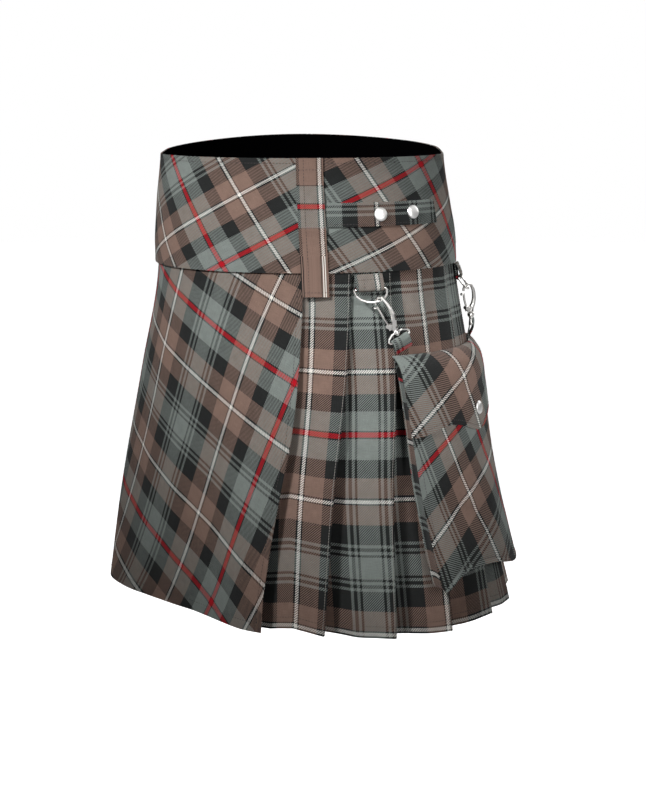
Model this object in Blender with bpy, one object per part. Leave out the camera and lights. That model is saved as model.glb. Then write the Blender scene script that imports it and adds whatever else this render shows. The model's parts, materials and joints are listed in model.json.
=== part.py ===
"""Tartan wrap skirt with knife pleats and a clip-on pocket: the made solids.

Metres, +Z up, front faces -Y. The origin is the middle of the waist opening.
Angles run from the front towards +X. Every cloth piece is laid off one body
surface by a distance outwards, so the stack of layers can be read off.
"""
import math

import bmesh
import bpy
import numpy as np
from mathutils import Matrix, Vector

# the body surface
# z, half width, front depth, back depth, sideways shift, roundness power
SECTIONS = (
    (0.020, 0.1318, 0.0950, 0.0980, 0.0005, 2.00),
    (0.000, 0.1326, 0.0960, 0.1000, 0.0005, 2.00),
    (-0.050, 0.1385, 0.1055, 0.1115, 0.0017, 2.05),
    (-0.100, 0.1395, 0.1120, 0.1210, 0.0040, 2.10),
    (-0.200, 0.1563, 0.1330, 0.1420, 0.0037, 2.20),
    (-0.300, 0.1714, 0.1490, 0.1590, 0.0010, 2.30),
    (-0.430, 0.1963, 0.1715, 0.1815, 0.0056, 2.35),
)
TABLE = np.array(SECTIONS)[::-1]
# the apron hangs flatter than a round body: middle and half span (deg), depth at the hem
FLAT = (-46.0, 45.0, 0.031)

Z_SEAM = -0.0990        # lower edge of the yoke
Z_TUCK = -0.0910        # upper edge of skirt cloth, under the yoke
RIM_FRONT, RIM_BACK = 0.0030, 0.0168
GAP = 0.0003

# angle (deg), height of the hem there
HEM_LINE = (
    (-180, -0.4140), (-130, -0.4135), (-90, -0.4120), (-76, -0.4104), (-63, -0.4103), (-52, -0.4122),
    (-41, -0.4142), (-30, -0.4177), (-20, -0.4198), (-12, -0.4201), (-4, -0.4162), (6, -0.4212),
    (15, -0.4254), (27, -0.4258), (38, -0.4276), (50, -0.4270), (60, -0.4240), (72, -0.4266),
    (90, -0.4250), (115, -0.4210), (180, -0.4140),
)

# knife pleat folds: angle at the yoke seam, angle at the hem, height of the fold at the hem
FOLDS = (
    (21.0, 5.4, 0.0090),
    (39.2, 26.2, 0.0085),
    (54.3, 43.8, 0.0046),
    (70.0, 61.0, 0.0042),
    (86.0, 77.5, 0.0045),
    (102.0, 93.5, 0.0058),
    (118.5, 109.0, 0.0080),
    (134.0, 124.0, 0.0085),
    (149.0, 138.5, 0.0085),
    (164.0, 153.0, 0.0085),
    (179.0, 168.0, 0.0085),
    (194.0, 183.5, 0.0085),
    (209.0, 199.0, 0.0085),
    (224.5, 215.0, 0.0085),
    (241.0, 232.5, 0.0080),
    (258.0, 252.0, 0.0075),
)
PLY = 0.0010            # pleated cloth
STEP = PLY + 0.0004     # from one folded layer to the next
LEVEL = (PLY / 2, PLY / 2 + STEP, PLY / 2 + 2 * STEP)

# apron's free edge: share of the way down, angle
APRON_EDGE = (
    (0.0, -0.4), (0.05, -0.8), (0.32, -2.4), (0.49, -4.2), (0.77, -10.0), (0.90, -12.4), (1.0, -13.1),
)


def section_row(z):
    """Half width, front, back, shift and power at a height, by cubic pieces."""
    zs = TABLE[:, 0]
    z = np.asarray(z, float)
    i = np.clip(np.searchsorted(zs, z) - 1, 0, len(zs) - 2)
    h = zs[i + 1] - zs[i]
    t = np.clip((z - zs[i]) / h, 0.0, 1.0)
    out = []
    for c in range(1, 6):
        v = TABLE[:, c]
        m = np.gradient(v, zs)
        out.append((2 * t**3 - 3 * t**2 + 1) * v[i] + (t**3 - 2 * t**2 + t) * h * m[i]
                   + (-2 * t**3 + 3 * t**2) * v[i + 1] + (t**3 - t**2) * h * m[i + 1])
    return out


def plan(th, z):
    """Point of the body surface seen from above."""
    half, front, back, shift, power = section_row(z)
    s, c = np.sin(th), np.cos(th)
    deep = np.where(c > 0, front, back)
    r = ((np.abs(s) / half)**power + (np.abs(c) / deep)**power)**(-1 / power)
    w = np.clip(((np.degrees(th) - FLAT[0] + 180) % 360 - 180) / FLAT[1], -1, 1)
    drop = np.clip((Z_SEAM - z) / 0.311, 0, 1.1)
    r = r - FLAT[2] * drop**1.2 * np.cos(w * math.pi / 2)**2
    return shift + r * s, -r * c


def point(th, z, off):
    """Point at an angle and height, laid out from the body surface."""
    th, z, off = np.broadcast_arrays(np.asarray(th, float), np.asarray(z, float), np.asarray(off, float))
    x, y = plan(th, z)
    x1, y1 = plan(th + 1e-3, z)
    x0, y0 = plan(th - 1e-3, z)
    tx, ty = x1 - x0, y1 - y0
    n = np.hypot(tx, ty)
    return np.stack([x + off * ty / n, y - off * tx / n, z], -1)


def arc(z):
    """Angles and the distance along the section at one height."""
    th = np.radians(np.arange(-220.0, 321.0, 1.0))
    x, y = plan(th, z)
    s = np.concatenate([[0.0], np.cumsum(np.hypot(np.diff(x), np.diff(y)))])
    return th, s - np.interp(0.0, th, s)


def rim(th):
    turn = np.abs((np.degrees(th) + 180) % 360 - 180)
    t = np.clip((turn - 88) / 92, 0, 1)
    rise = (np.sin(t * math.pi / 2) + 1e-9)**(0.85 - 0.15 * np.sin(th)) * smooth(0, 0.15, t)
    return RIM_FRONT + (RIM_BACK - RIM_FRONT) * rise


def hem(th):
    deg = (np.degrees(th) + 180) % 360 - 180
    a = np.array(HEM_LINE)
    return np.interp(deg, a[:, 0], a[:, 1])


def smooth(a, b, x):
    t = np.clip((x - a) / (b - a), 0, 1)
    return t * t * (3 - 2 * t)


def place(th, z, off, spin=0.0):
    """Frame on the surface: X along the angle, Y into the body, Z up the cloth."""
    e = 1e-3
    p = Vector(point(th, z, off))
    up = Vector(point(th, z + e, off) - point(th, z - e, off)).normalized()
    along = Vector(point(th + e, z, off) - point(th - e, z, off)).normalized()
    out = along.cross(up).normalized()
    up = out.cross(along).normalized()
    m = Matrix((along, -out, up)).transposed().to_4x4()
    m.translation = p
    return m @ Matrix.Rotation(spin, 4, "Y")


# making objects
MATERIALS = {
    # name: colour, metallic, roughness
    "tartan_cloth": ((0.13, 0.115, 0.105), 0.0, 0.85),
    "tartan_bias_cloth": ((0.15, 0.13, 0.12), 0.0, 0.85),
    "black_lining": ((0.012, 0.012, 0.013), 0.0, 0.75),
    "nickel_plate": ((0.62, 0.61, 0.59), 1.0, 0.22),
}


def material(name):
    if name in bpy.data.materials:
        return bpy.data.materials[name]
    colour, metal, rough = MATERIALS[name]
    m = bpy.data.materials.new(name)
    m.use_nodes = True
    b = m.node_tree.nodes["Principled BSDF"]
    b.inputs["Base Color"].default_value = (*colour, 1)
    b.inputs["Metallic"].default_value = metal
    b.inputs["Roughness"].default_value = rough
    return m


def make(name, verts, faces, mat):
    mesh = bpy.data.meshes.new(name)
    mesh.from_pydata([tuple(map(float, v)) for v in verts], [], faces)
    bm = bmesh.new()
    bm.from_mesh(mesh)
    bmesh.ops.remove_doubles(bm, verts=bm.verts, dist=1e-6)
    bmesh.ops.recalc_face_normals(bm, faces=bm.faces)
    bm.to_mesh(mesh)
    bm.free()
    mesh.materials.append(material(mat))
    ob = bpy.data.objects.new(name, mesh)
    bpy.context.scene.collection.objects.link(ob)
    return ob


def lay(ob, frame):
    """Stand an object in a frame."""
    ob.matrix_world = frame
    return ob


def sheet(name, outer, inner, mat, ring=False):
    """Closed solid between two grids of points of the same size."""
    rows, cols = outer.shape[:2]
    n = rows * cols
    verts = np.concatenate([outer.reshape(-1, 3), inner.reshape(-1, 3)])
    faces = []
    span = cols if ring else cols - 1
    for j in range(rows - 1):
        for i in range(span):
            k = (i + 1) % cols
            a, b, c, d = j * cols + i, j * cols + k, (j + 1) * cols + k, (j + 1) * cols + i
            faces += [(a, b, c, d), (n + d, n + c, n + b, n + a)]
    for i in range(span):
        k = (i + 1) % cols
        last = (rows - 1) * cols
        faces += [(i, n + i, n + k, k), (last + i, last + k, n + last + k, n + last + i)]
    if not ring:
        for j in range(rows - 1):
            a, b = j * cols, (j + 1) * cols
            c, d = a + cols - 1, b + cols - 1
            faces += [(a, b, n + b, n + a), (c, n + c, n + d, d)]
    return make(name, verts, faces, mat)


def offsets(line, half):
    """Both sides of a 2-D line at half a thickness, with mitred corners."""
    line = np.asarray(line, float)
    d = np.diff(line, axis=0)
    d /= np.linalg.norm(d, axis=1)[:, None]
    n = np.stack([-d[:, 1], d[:, 0]], -1)
    first, last = n[:1], n[-1:]
    mid = n[:-1] + n[1:]
    mid /= np.linalg.norm(mid, axis=1)[:, None]
    mid /= np.maximum(np.sum(mid * n[1:], axis=1), 0.5)[:, None]
    n = np.concatenate([first, mid, last])
    return line + n * half, line - n * half


def strip(name, line, half, width, frame, mat):
    """A band of cloth: a side-view line (outwards, up) given a thickness and a width."""
    a, b = offsets(line, half)
    xs = np.array([-width / 2, width / 2])
    grids = []
    for side in (a, b):
        g = np.zeros((2, len(line), 3))
        for j, x in enumerate(xs):
            g[j, :, 0], g[j, :, 1], g[j, :, 2] = x, -side[:, 0], side[:, 1]
        grids.append(g)
    ob = sheet(name, grids[0], grids[1], mat)
    return lay(ob, frame)


def tube(name, path, radius, frame, mat, sides=8, closed=False):
    """Round bar swept along a path; the radius may be one number per point."""
    path = [Vector(p) for p in path]
    n = len(path)
    radius = [radius] * n if isinstance(radius, float) else list(radius)
    tang = []
    for i in range(n):
        a = path[i - 1] if (i or closed) else path[0]
        b = path[(i + 1) % n] if (i < n - 1 or closed) else path[-1]
        tang.append((b - a).normalized())
    side = tang[0].orthogonal().normalized()
    if abs(tang[0].y) < 0.9:
        side = Vector((0, 1, 0)).cross(tang[0]).normalized()
    verts, faces = [], []
    for i in range(n):
        side = (side - tang[i] * side.dot(tang[i])).normalized()
        up = tang[i].cross(side)
        for k in range(sides):
            w = 2 * math.pi * k / sides
            verts.append(path[i] + (side * math.cos(w) + up * math.sin(w)) * radius[i])
    for i in range(n if closed else n - 1):
        j = (i + 1) % n
        for k in range(sides):
            q = (k + 1) % sides
            faces.append((i * sides + k, i * sides + q, j * sides + q, j * sides + k))
    if not closed:
        faces.append(tuple(range(sides))[::-1])
        faces.append(tuple((n - 1) * sides + k for k in range(sides)))
    return lay(make(name, verts, faces, mat), frame)


def turned(name, profile, frame, mat, sides=16):
    """Solid of revolution about local Y; the profile is (radius, outwards)."""
    verts, faces = [], []
    for r, y in profile:
        for k in range(sides):
            w = 2 * math.pi * k / sides
            verts.append((r * math.cos(w), -y, r * math.sin(w)))
    m = len(profile)
    for i in range(m - 1):
        for k in range(sides):
            q = (k + 1) % sides
            faces.append((i * sides + k, i * sides + q, (i + 1) * sides + q, (i + 1) * sides + k))
    faces += [tuple(range(sides))[::-1], tuple((m - 1) * sides + k for k in range(sides))]
    return lay(make(name, verts, faces, mat), frame)


def block(name, low, high, frame, mat):
    (x0, y0, z0), (x1, y1, z1) = low, high
    v = [(x, y, z) for z in (z0, z1) for y in (y0, y1) for x in (x0, x1)]
    f = [(0, 1, 3, 2), (4, 6, 7, 5), (0, 4, 5, 1), (2, 3, 7, 6), (0, 2, 6, 4), (1, 5, 7, 3)]
    return lay(make(name, v, f, mat), frame)


def combine(target, other, how):
    """Exact Boolean of two closed solids; the second one is used up."""
    mod = target.modifiers.new("cut", "BOOLEAN")
    mod.operation, mod.solver, mod.object = how, "EXACT", other
    bpy.context.view_layer.update()
    done = bpy.data.meshes.new_from_object(target.evaluated_get(bpy.context.evaluated_depsgraph_get()))
    target.modifiers.clear()
    old = target.data
    target.data = done
    bpy.data.meshes.remove(old)
    bpy.data.objects.remove(other, do_unlink=True)
    bm = bmesh.new()
    bm.from_mesh(done)
    bmesh.ops.remove_doubles(bm, verts=bm.verts, dist=2e-6)
    bmesh.ops.dissolve_degenerate(bm, edges=bm.edges, dist=1e-6)
    bm.to_mesh(done)
    bm.free()
    while len(done.materials) > 1:
        done.materials.pop()
    return target


# yoke and lining
YOKE = 0.0013


def yoke_inner(z):
    return 0.0015 + 0.0030 * smooth(-0.045, -0.086, z)


def yoke_outer(z):
    return yoke_inner(z) + YOKE


def band(name, start, end, low, high, inner, outer, mat, rows=6, pitch=5.0, ring=False):
    """Panel of the yoke between two angles (deg); low and high are lines of height."""
    n = max(2, int(round(abs(end - start) / pitch)) + 1)
    th = np.radians(np.linspace(start, end, n))
    if ring:
        th = th[:-1]
    v = np.linspace(0, 1, rows)[:, None]
    z = low(th)[None, :] + (high(th) - low(th))[None, :] * v
    t = np.broadcast_to(th[None, :], z.shape)
    return sheet(name, point(t, z, outer(z)), point(t, z, inner(z)), mat, ring)


def build_yoke():
    low = lambda th: np.full_like(th, Z_SEAM)
    seam = 0.07
    band("yoke_front_left", -95 + seam, 4.4 - seam, low, rim, yoke_inner, yoke_outer, "tartan_bias_cloth")
    band("yoke_front_right", 4.4 + seam, 95 - seam, low, rim, yoke_inner, yoke_outer, "tartan_bias_cloth")
    band("yoke_back", 95 + seam, 265 - seam, low, rim, yoke_inner, yoke_outer, "tartan_bias_cloth")
    floor = lambda th: np.full_like(th, Z_TUCK + 0.0006)
    top = lambda th: rim(th) - 0.0015
    band("yoke_lining", -180, 180, floor, top, lambda z: 0.0 * z, lambda z: 0.0 * z + 0.0010,
         "black_lining", rows=6, ring=True)


# pleats
ROWS = (0.0, 0.028, 0.13, 0.33, 0.56, 0.79, 1.0)


def row_height(v):
    return Z_TUCK + (-0.416 - Z_TUCK) * v


def fold_angle(k, v):
    seam, low, _ = FOLDS[k]
    w = max(0.0, (v - 0.025) / 0.975)
    return math.radians(seam + (low - seam) * w**0.92)


def underlay(v):
    return 0.0120 + 0.0060 * v


def fold_height(k, v):
    return LEVEL[2] + (FOLDS[k][2] - LEVEL[2]) * v**1.2


def apron_edge(v):
    a = np.array(APRON_EDGE)
    return math.radians(np.interp(v, a[:, 0], a[:, 1]))


def pleat_line(v, first, last, th, s):
    """Cross-section of the cloth through folds first..last as (distance, outwards)."""
    at = lambda k: float(np.interp(fold_angle(k, v), th, s))
    d, r = underlay(v), STEP / 2
    pts = []
    if first == 0:
        edge = float(np.interp(apron_edge(v), th, s))
        start = edge - 0.012
        pts += [(start, LEVEL[0]), (edge - 0.002, LEVEL[0])]
    else:
        e = at(first - 1)
        h = fold_height(first - 1, v) - STEP
        pts.append((e - 0.5 * d - GAP, (h + LEVEL[1]) / 2))
        c = e - d + r
        pts += [(c, LEVEL[1]), (c - r, LEVEL[0] + r), (c, LEVEL[0]), (e, LEVEL[0] + 0.0001)]
    for k in range(first, last + 1):
        e, high = at(k), fold_height(k, v)
        begin = pts[-1][0]
        m = LEVEL[2] + 0.25 * (high - LEVEL[2])
        wide = e - d - begin
        for f, g in ((0.35, 0.16), (0.70, 0.66)):
            pts.append((begin + f * wide, LEVEL[0] + g * (m - LEVEL[0])))
        pts.append((e - d, m))
        pts.append((e - 0.45 * d, m + 0.62 * (high - m)))
        pts += [(e - r, high), (e, high - r), (e - r, high - STEP)]
        mid = (e - 0.5 * d, (high - STEP + LEVEL[1]) / 2)
        pts.append(mid)
        if k < last:
            c = e - d + r
            pts += [(c, LEVEL[1]), (c - r, LEVEL[0] + r), (c, LEVEL[0]), (e, LEVEL[0] + 0.0001)]
    return pts


def surface_rows(lines):
    """Rows of (distance, outwards) laid on the body surface, both sides of the cloth."""
    outer, inner = [], []
    for v, th, s, line, half in lines:
        for side, keep in zip(offsets(line, half), (outer, inner)):
            a = np.interp(side[:, 0], s, th)
            z = Z_TUCK + (hem(a) - Z_TUCK) * v
            keep.append(point(a, z, side[:, 1]))
    return np.array(outer), np.array(inner)


def build_pleats():
    for name, first, last in (("pleats_front", 0, 2), ("pleats_right", 3, 6),
                              ("pleats_back", 7, 11), ("pleats_left", 12, 15)):
        lines = []
        for v in ROWS:
            th, s = arc(row_height(v))
            lines.append((v, th, s, pleat_line(v, first, last, th, s), PLY / 2))
        sheet(name, *surface_rows(lines), "tartan_cloth")


def apron_rise(v):
    """Height of the apron's middle line at its free edge."""
    return 0.0031 + 0.0052 * v**1.2


def build_aprons():
    over, under = [], []
    turn = 2 * math.pi
    for v in ROWS:
        th, s = arc(row_height(v))
        back = float(np.interp(fold_angle(15, v) - turn, th, s))
        d = underlay(v)
        edge = float(np.interp(apron_edge(v), th, s))
        high = fold_height(15, v) - STEP
        mid = (high + LEVEL[1]) / 2
        span = edge - back
        low = LEVEL[1] + 0.0002
        r = STEP / 2
        c = back - d + r
        line = [(back - 0.5 * d - GAP, mid), (c, LEVEL[1]), (c - r, LEVEL[0] + r), (c, LEVEL[0]),
                (back, LEVEL[0] + 0.0001), (back + 0.012, low)]
        stop = edge - 0.012 - GAP
        stations = np.linspace(back + 0.0145, stop, 22)
        for x in list(stations) + [edge - 0.006, edge]:
            f = max(0.0, (x - back) / span - 0.45) / 0.55
            line.append((x, low + (apron_rise(v) - low) * f**1.8))
        over.append((v, th, s, line, PLY / 2 + 0.0001))
        under.append((v, th, s, [(x, LEVEL[0]) for x in stations], PLY / 2))
    sheet("apron", *surface_rows(over), "tartan_bias_cloth")
    sheet("under_apron", *surface_rows(under), "tartan_cloth")


# loop, strap and snaps
STRAP = 0.0015
STRAP_Z = (-0.0582, -0.0368)
# snap cap: radius, outwards
SNAP = ((0.0060, 0.0), (0.0064, 0.0006), (0.0060, 0.0014), (0.0040, 0.0021), (0.0015, 0.0024))

# belt loop: height, clearance over the yoke
LOOP_PROFILE = (
    (-0.1200, 0.0004), (-0.1090, 0.0004), (-0.0990, 0.0004), (-0.0850, 0.0004), (-0.0680, 0.0004),
    (-0.0605, 0.0023), (-0.0475, 0.0024), (-0.0345, 0.0023), (-0.0280, 0.0005), (-0.0130, 0.0004),
)
LOOP_TOP = 0.0032
LOOP_HALF = 0.0125


def build_loop_and_strap():
    th = np.radians(np.linspace(1.5, 65.5, 27))
    rows = np.linspace(STRAP_Z[0], STRAP_Z[1], 3)[:, None]
    z = np.broadcast_to(rows, (3, len(th)))
    t = np.broadcast_to(th[None, :], z.shape)
    base = yoke_outer(z) + GAP
    sheet("waist_strap", point(t, z, base + STRAP), point(t, z, base), "tartan_cloth")
    for i, (deg, height) in enumerate(((37.0, -0.0476), (52.6, -0.0468))):
        f = place(math.radians(deg), height, float(yoke_outer(height)) + GAP + STRAP + 0.00045)
        turned("strap_snap_%d" % (i + 1), SNAP, f, "nickel_plate")
    zs = [height for height, _ in LOOP_PROFILE] + [LOOP_TOP]
    offs = [float(yoke_outer(np.array(height))) + clear for height, clear in LOOP_PROFILE]
    offs.append(float(yoke_outer(np.array(0.0))) + 0.0004)
    outer, inner = [], []
    for zz, o in zip(zs, offs):
        thx, s = arc(zz)
        mid = float(np.interp(math.radians(4.5), thx, s))
        a = np.interp(mid + np.linspace(-LOOP_HALF, LOOP_HALF, 5) * 0.965, s, thx)
        outer.append(point(a, zz, o + 0.0012))
        inner.append(point(a, zz, o))
    sheet("belt_loop", np.array(outer), np.array(inner), "tartan_cloth")


# rings and clips
RING = 0.0011           # half the D-ring wire
RING_WIDTH = 0.0335     # outside, along the bar
RING_DROP = 0.0165      # outside, below the bar
EYE = 0.0012            # half the clip loop wire


def ring_path(width, height, turn=8):
    """D shape hanging from its bar: local X across, Z up, bar at Z = 0."""
    w = width / 2 - RING
    r = 0.0015
    pts = [(-w + r, 0, 0), (0, 0, 0), (w - r, 0, 0), (w - 0.3 * r, 0, -0.3 * r), (w, 0, -r)]
    low = height - 2 * RING
    for i in range(1, turn):
        a = math.pi * i / turn
        pts.append((w * math.cos(a), 0, -r - (low - r) * math.sin(a)**0.9))
    pts += [(-w, 0, -r), (-w + 0.3 * r, 0, -0.3 * r)]
    return pts


def hung_strip(length, radius, lean=0.0):
    """Side view of a folded tab: up from the bar on both sides to the seam."""
    pts = [(lean - STEP / 2, length), (-radius * 0.9, length * 0.30), (-radius, 0.0)]
    for a in (225, 270, 315):
        w = math.radians(a)
        pts.append((radius * math.cos(w), radius * math.sin(w)))
    pts += [(radius, 0.0), (radius * 0.9, length * 0.30), (lean + STEP / 2, length)]
    return pts


def clip_frame(base, top, out, yaw):
    """Frame of a clip: Z from its loop to its hook, Y into the body; then the same turned on Z."""
    up = (top - base).normalized()
    side = up.cross(out).normalized()
    front = side.cross(up).normalized()
    m = Matrix((side, -front, up)).transposed().to_4x4()
    m.translation = base
    return m, m @ Matrix.Rotation(-yaw, 4, "Z")


def clip(tag, base, top, out, yaw):
    """Swivel clip: a loop with a drilled collar, a hook riveted through it, a spring gate."""
    fixed, turned_frame = clip_frame(base, top, out, yaw)
    size = (top - base).length
    k = size / 0.0345
    w, h, r = 0.0113, 0.0070, EYE
    loop = [(-w + 0.002, 0, 0), (0, 0, 0), (w - 0.002, 0, 0), (w - 0.0006, 0, 0.0006), (w, 0, 0.002),
            (w * 0.86, 0, h * 0.62), (w * 0.50, 0, h * 0.93), (0, 0, h),
            (-w * 0.50, 0, h * 0.93), (-w * 0.86, 0, h * 0.62), (-w, 0, 0.002), (-w + 0.0006, 0, 0.0006)]
    eye = tube("clip_loop_" + tag, loop, r, fixed, "nickel_plate", closed=True)
    upright = fixed @ Matrix.Translation((0, 0, h)) @ Matrix.Rotation(math.pi / 2, 4, "X")
    collar = turned("collar", ((0.0030, -0.0018), (0.0034, -0.0012), (0.0034, 0.0012), (0.0030, 0.0018)),
                    upright, "nickel_plate", sides=16)
    combine(eye, collar, "UNION")
    hole = turned("hole", ((0.0018, -0.004), (0.0018, 0.004)), upright, "nickel_plate", sides=16)
    combine(eye, hole, "DIFFERENCE")
    # across, up, half thickness: rivet head, shank, shoulder, leg, bow, nose
    c = h + 0.0018
    hook = (
        (0.0, h - 0.0034, 0.0022), (0.0, h - 0.0022, 0.0024), (0.0, h - 0.0021, 0.0014),
        (0.0, c + 0.0003, 0.0014), (0.0, c + 0.0004, 0.0030), (0.0, c + 0.0020, 0.0031),
        (0.0010, c + 0.0042, 0.0027),
        (0.0040, c + 0.0078 * k, 0.0022), (0.0055, c + 0.0120 * k, 0.0020), (0.0058, c + 0.0165 * k, 0.0018),
        (0.0054, c + 0.0208 * k, 0.0016), (0.0034, size - 0.0008, 0.0014), (0.0, size, 0.0014),
        (-0.0034, size - 0.0008, 0.0014), (-0.0052, size - 0.0030, 0.0013), (-0.0056, size - 0.0052, 0.0012),
    )
    body = tube("clip_hook_" + tag, [(x, 0, z) for x, z, _ in hook], [q for _, _, q in hook], turned_frame,
                "nickel_plate", sides=10)
    px, pz = -0.0044, c + 0.0058
    pivot = turned_frame @ Matrix.Translation((px, 0, pz))
    for side in (-1, 1):
        y0, y1 = sorted((side * 0.0014, side * 0.0024))
        cheek = turned("cheek", ((0.0019, y0), (0.0019, y1)), pivot, "nickel_plate", sides=14)
        combine(body, cheek, "UNION")
        arm = block("arm", (-0.0002, y0, -0.0040), (0.0010 - px, y1, 0.0006), pivot, "nickel_plate")
        combine(body, arm, "UNION")
    pin = turned("pin", ((0.0006, -0.0020), (0.0006, 0.0020)), pivot, "nickel_plate", sides=10)
    combine(body, pin, "UNION")
    tx, tz = -0.0058 - px, size - 0.0072 - pz
    gate = tube("clip_gate_" + tag, [(0, 0, 0.0010), (-0.0012, 0, tz / 2), (tx, 0, tz)],
                [0.0010, 0.0011, 0.0011], pivot, "nickel_plate")
    eyelet = turned("eyelet", ((0.0017, -0.0010), (0.0017, 0.0010)), pivot, "nickel_plate", sides=14)
    combine(gate, eyelet, "UNION")
    bore = turned("bore", ((0.0009, -0.003), (0.0009, 0.003)), pivot, "nickel_plate", sides=14)
    combine(gate, bore, "DIFFERENCE")
    knob = tube("knob", [(tx, 0, tz - 0.0016), (tx - 0.0016, 0, tz - 0.0010), (tx - 0.0030, 0, tz - 0.0006)],
                [0.0008, 0.0013, 0.0015], pivot, "nickel_plate")
    combine(gate, knob, "UNION")
    gate.parent = body
    gate.matrix_parent_inverse = body.matrix_world.inverted()


# pocket
POCKET_HALF = 0.0820
POCKET_TOP, POCKET_LOW, POCKET_MOUTH = -0.1758, -0.3835, -0.1935


def pocket_share(z):
    return np.clip((POCKET_TOP - z) / (POCKET_TOP - POCKET_LOW), 0, 1)


# place across the pocket, how far its lower edge is lifted there
POCKET_LIFT = (
    (-1.0, -0.0070), (-0.88, 0.0030), (-0.77, 0.0100), (-0.66, 0.0130), (-0.55, 0.0140), (-0.33, 0.0140),
    (-0.22, 0.0130), (0.0, 0.0080), (0.22, 0.0028), (0.44, 0.0), (1.0, 0.0),
)


def pocket_lift(u, z):
    a = np.array(POCKET_LIFT)
    u = np.asarray(u, float)
    soft = sum(np.interp(u + step, a[:, 0], a[:, 1]) for step in (-0.05, 0.0, 0.05)) / 3
    return soft * smooth(0.55, 1.0, pocket_share(z))


def pocket_back(z):
    return 0.0056 + 0.0036 * pocket_share(z)


def pocket_depth(u, z):
    k = pocket_share(z)
    near, far = 0.0100 + 0.0080 * k, 0.0075 + 0.0015 * k
    return near + (far - near) * (np.asarray(u) + 1) / 2


def pocket_angle(u, z):
    th, s = arc(z)
    mid = math.radians(66.8 - 2.5 * float(pocket_share(z)))
    return np.interp(np.interp(mid, th, s) + np.asarray(u) * POCKET_HALF, s, th)


def pocket_edge(z, r=0.010):
    """Share of the half width at a height: the lower corners are rounded."""
    up = z - POCKET_LOW
    return 1.0 if up >= r else 1.0 - (r - math.sqrt(max(0.0, r * r - (r - up)**2))) / POCKET_HALF


def pocket_grid(zs, cols, off):
    rows = []
    for z in zs:
        u = np.linspace(-1, 1, cols) * pocket_edge(z)
        rows.append(point(pocket_angle(u, z), z + pocket_lift(u, z), off(u, z)))
    return np.array(rows)


def flap_low(u):
    return -0.2455 - 0.0050 * np.cos(2 * math.pi * np.asarray(u)) + 0.0045 * np.abs(u)**2


def build_pocket():
    low = [POCKET_LOW + 0.010 * f for f in (0.0, 0.15, 0.45, 1.0)]
    zs = low + list(np.linspace(-0.345, POCKET_TOP, 6))
    sheet("pocket_back", pocket_grid(zs, 13, lambda u, z: pocket_back(z) + 0.0010 + 0 * u),
          pocket_grid(zs, 13, lambda u, z: pocket_back(z) + 0 * u), "tartan_bias_cloth")
    zs = low + list(np.linspace(-0.345, POCKET_MOUTH, 5))
    front = lambda u, z: pocket_back(z) + pocket_depth(u, z)
    sheet("pocket_front", pocket_grid(zs, 13, front),
          pocket_grid(zs, 13, lambda u, z: front(u, z) - 0.0010), "tartan_bias_cloth")
    # gusset: down the left side, along the bottom, up the right side
    side = [(-1.0, z) for z in (POCKET_MOUTH, -0.230, -0.270, -0.310, -0.345)]
    corner = [(-pocket_edge(z), z) for z in low[::-1]]
    flat = [(u, POCKET_LOW) for u in np.linspace(-0.75, 0.75, 9)]
    left = side + corner
    path = left + flat + [(-u, z) for u, z in left[::-1]]
    path = np.array(path)
    metric = path * [POCKET_HALF * 1.1, 1.0]
    a, b = offsets(metric, 0.0010)
    middle = np.array([0.0, -0.28])
    closer = a if np.linalg.norm(a - middle, axis=1).mean() < np.linalg.norm(b - middle, axis=1).mean() else b
    closer = closer / [POCKET_HALF * 1.1, 1.0]
    closer[0, 1] = closer[-1, 1] = POCKET_MOUTH
    rings = []
    for line in (path, closer):
        g = []
        for f in (0.0, 1.0):
            row = []
            for u, z in line:
                lo, hi = pocket_back(z) + 0.0013, float(front(u, z)) - 0.0013
                row.append(point(pocket_angle(u, z), z + pocket_lift(u, z), lo + (hi - lo) * f))
            g.append(row)
        rings.append(np.array(g))
    sheet("pocket_gusset", rings[0], rings[1], "tartan_bias_cloth")
    # flap: from the back seam over the top and down the front
    us = np.linspace(-1.015, 1.015, 17)
    outer, inner = [], []
    for u in us:
        b, f = float(pocket_back(POCKET_TOP)), float(pocket_back(-0.20) + pocket_depth(u, -0.24))
        down = float(flap_low(u))
        line = [(b + 0.0004, POCKET_TOP + 0.0010), (b + 0.45 * (f - b), POCKET_TOP + 0.0002),
                (f - 0.0010, POCKET_TOP - 0.0060), (f + 0.0012, POCKET_TOP - 0.0115),
                (f + 0.0016, POCKET_TOP - 0.0260), (f + 0.0019, (down + POCKET_TOP - 0.026) / 2),
                (f + 0.0021, down)]
        a, c = offsets(line, 0.00065)
        outer.append([point(pocket_angle(u, z), z, o) for o, z in a])
        inner.append([point(pocket_angle(u, z), z, o) for o, z in c])
    sheet("pocket_flap", np.array(outer), np.array(inner), "tartan_bias_cloth")
    z = -0.2305
    off = float(pocket_back(-0.20) + pocket_depth(0.0, -0.24)) + 0.0019 + 0.00065 + 0.0006
    turned("pocket_snap", SNAP, place(float(pocket_angle(0.0, z)), z, off), "nickel_plate")


HANGERS = (
    # name, angle of the tab (deg), lean of the tab, hook along the ring, place on the pocket, yaw of the hook
    ("front", 28.0, 0.035, 0.0062, -0.93, 0.92),
    ("side", 83.5, 0.0, 0.0040, 0.66, 0.92),
)


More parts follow.
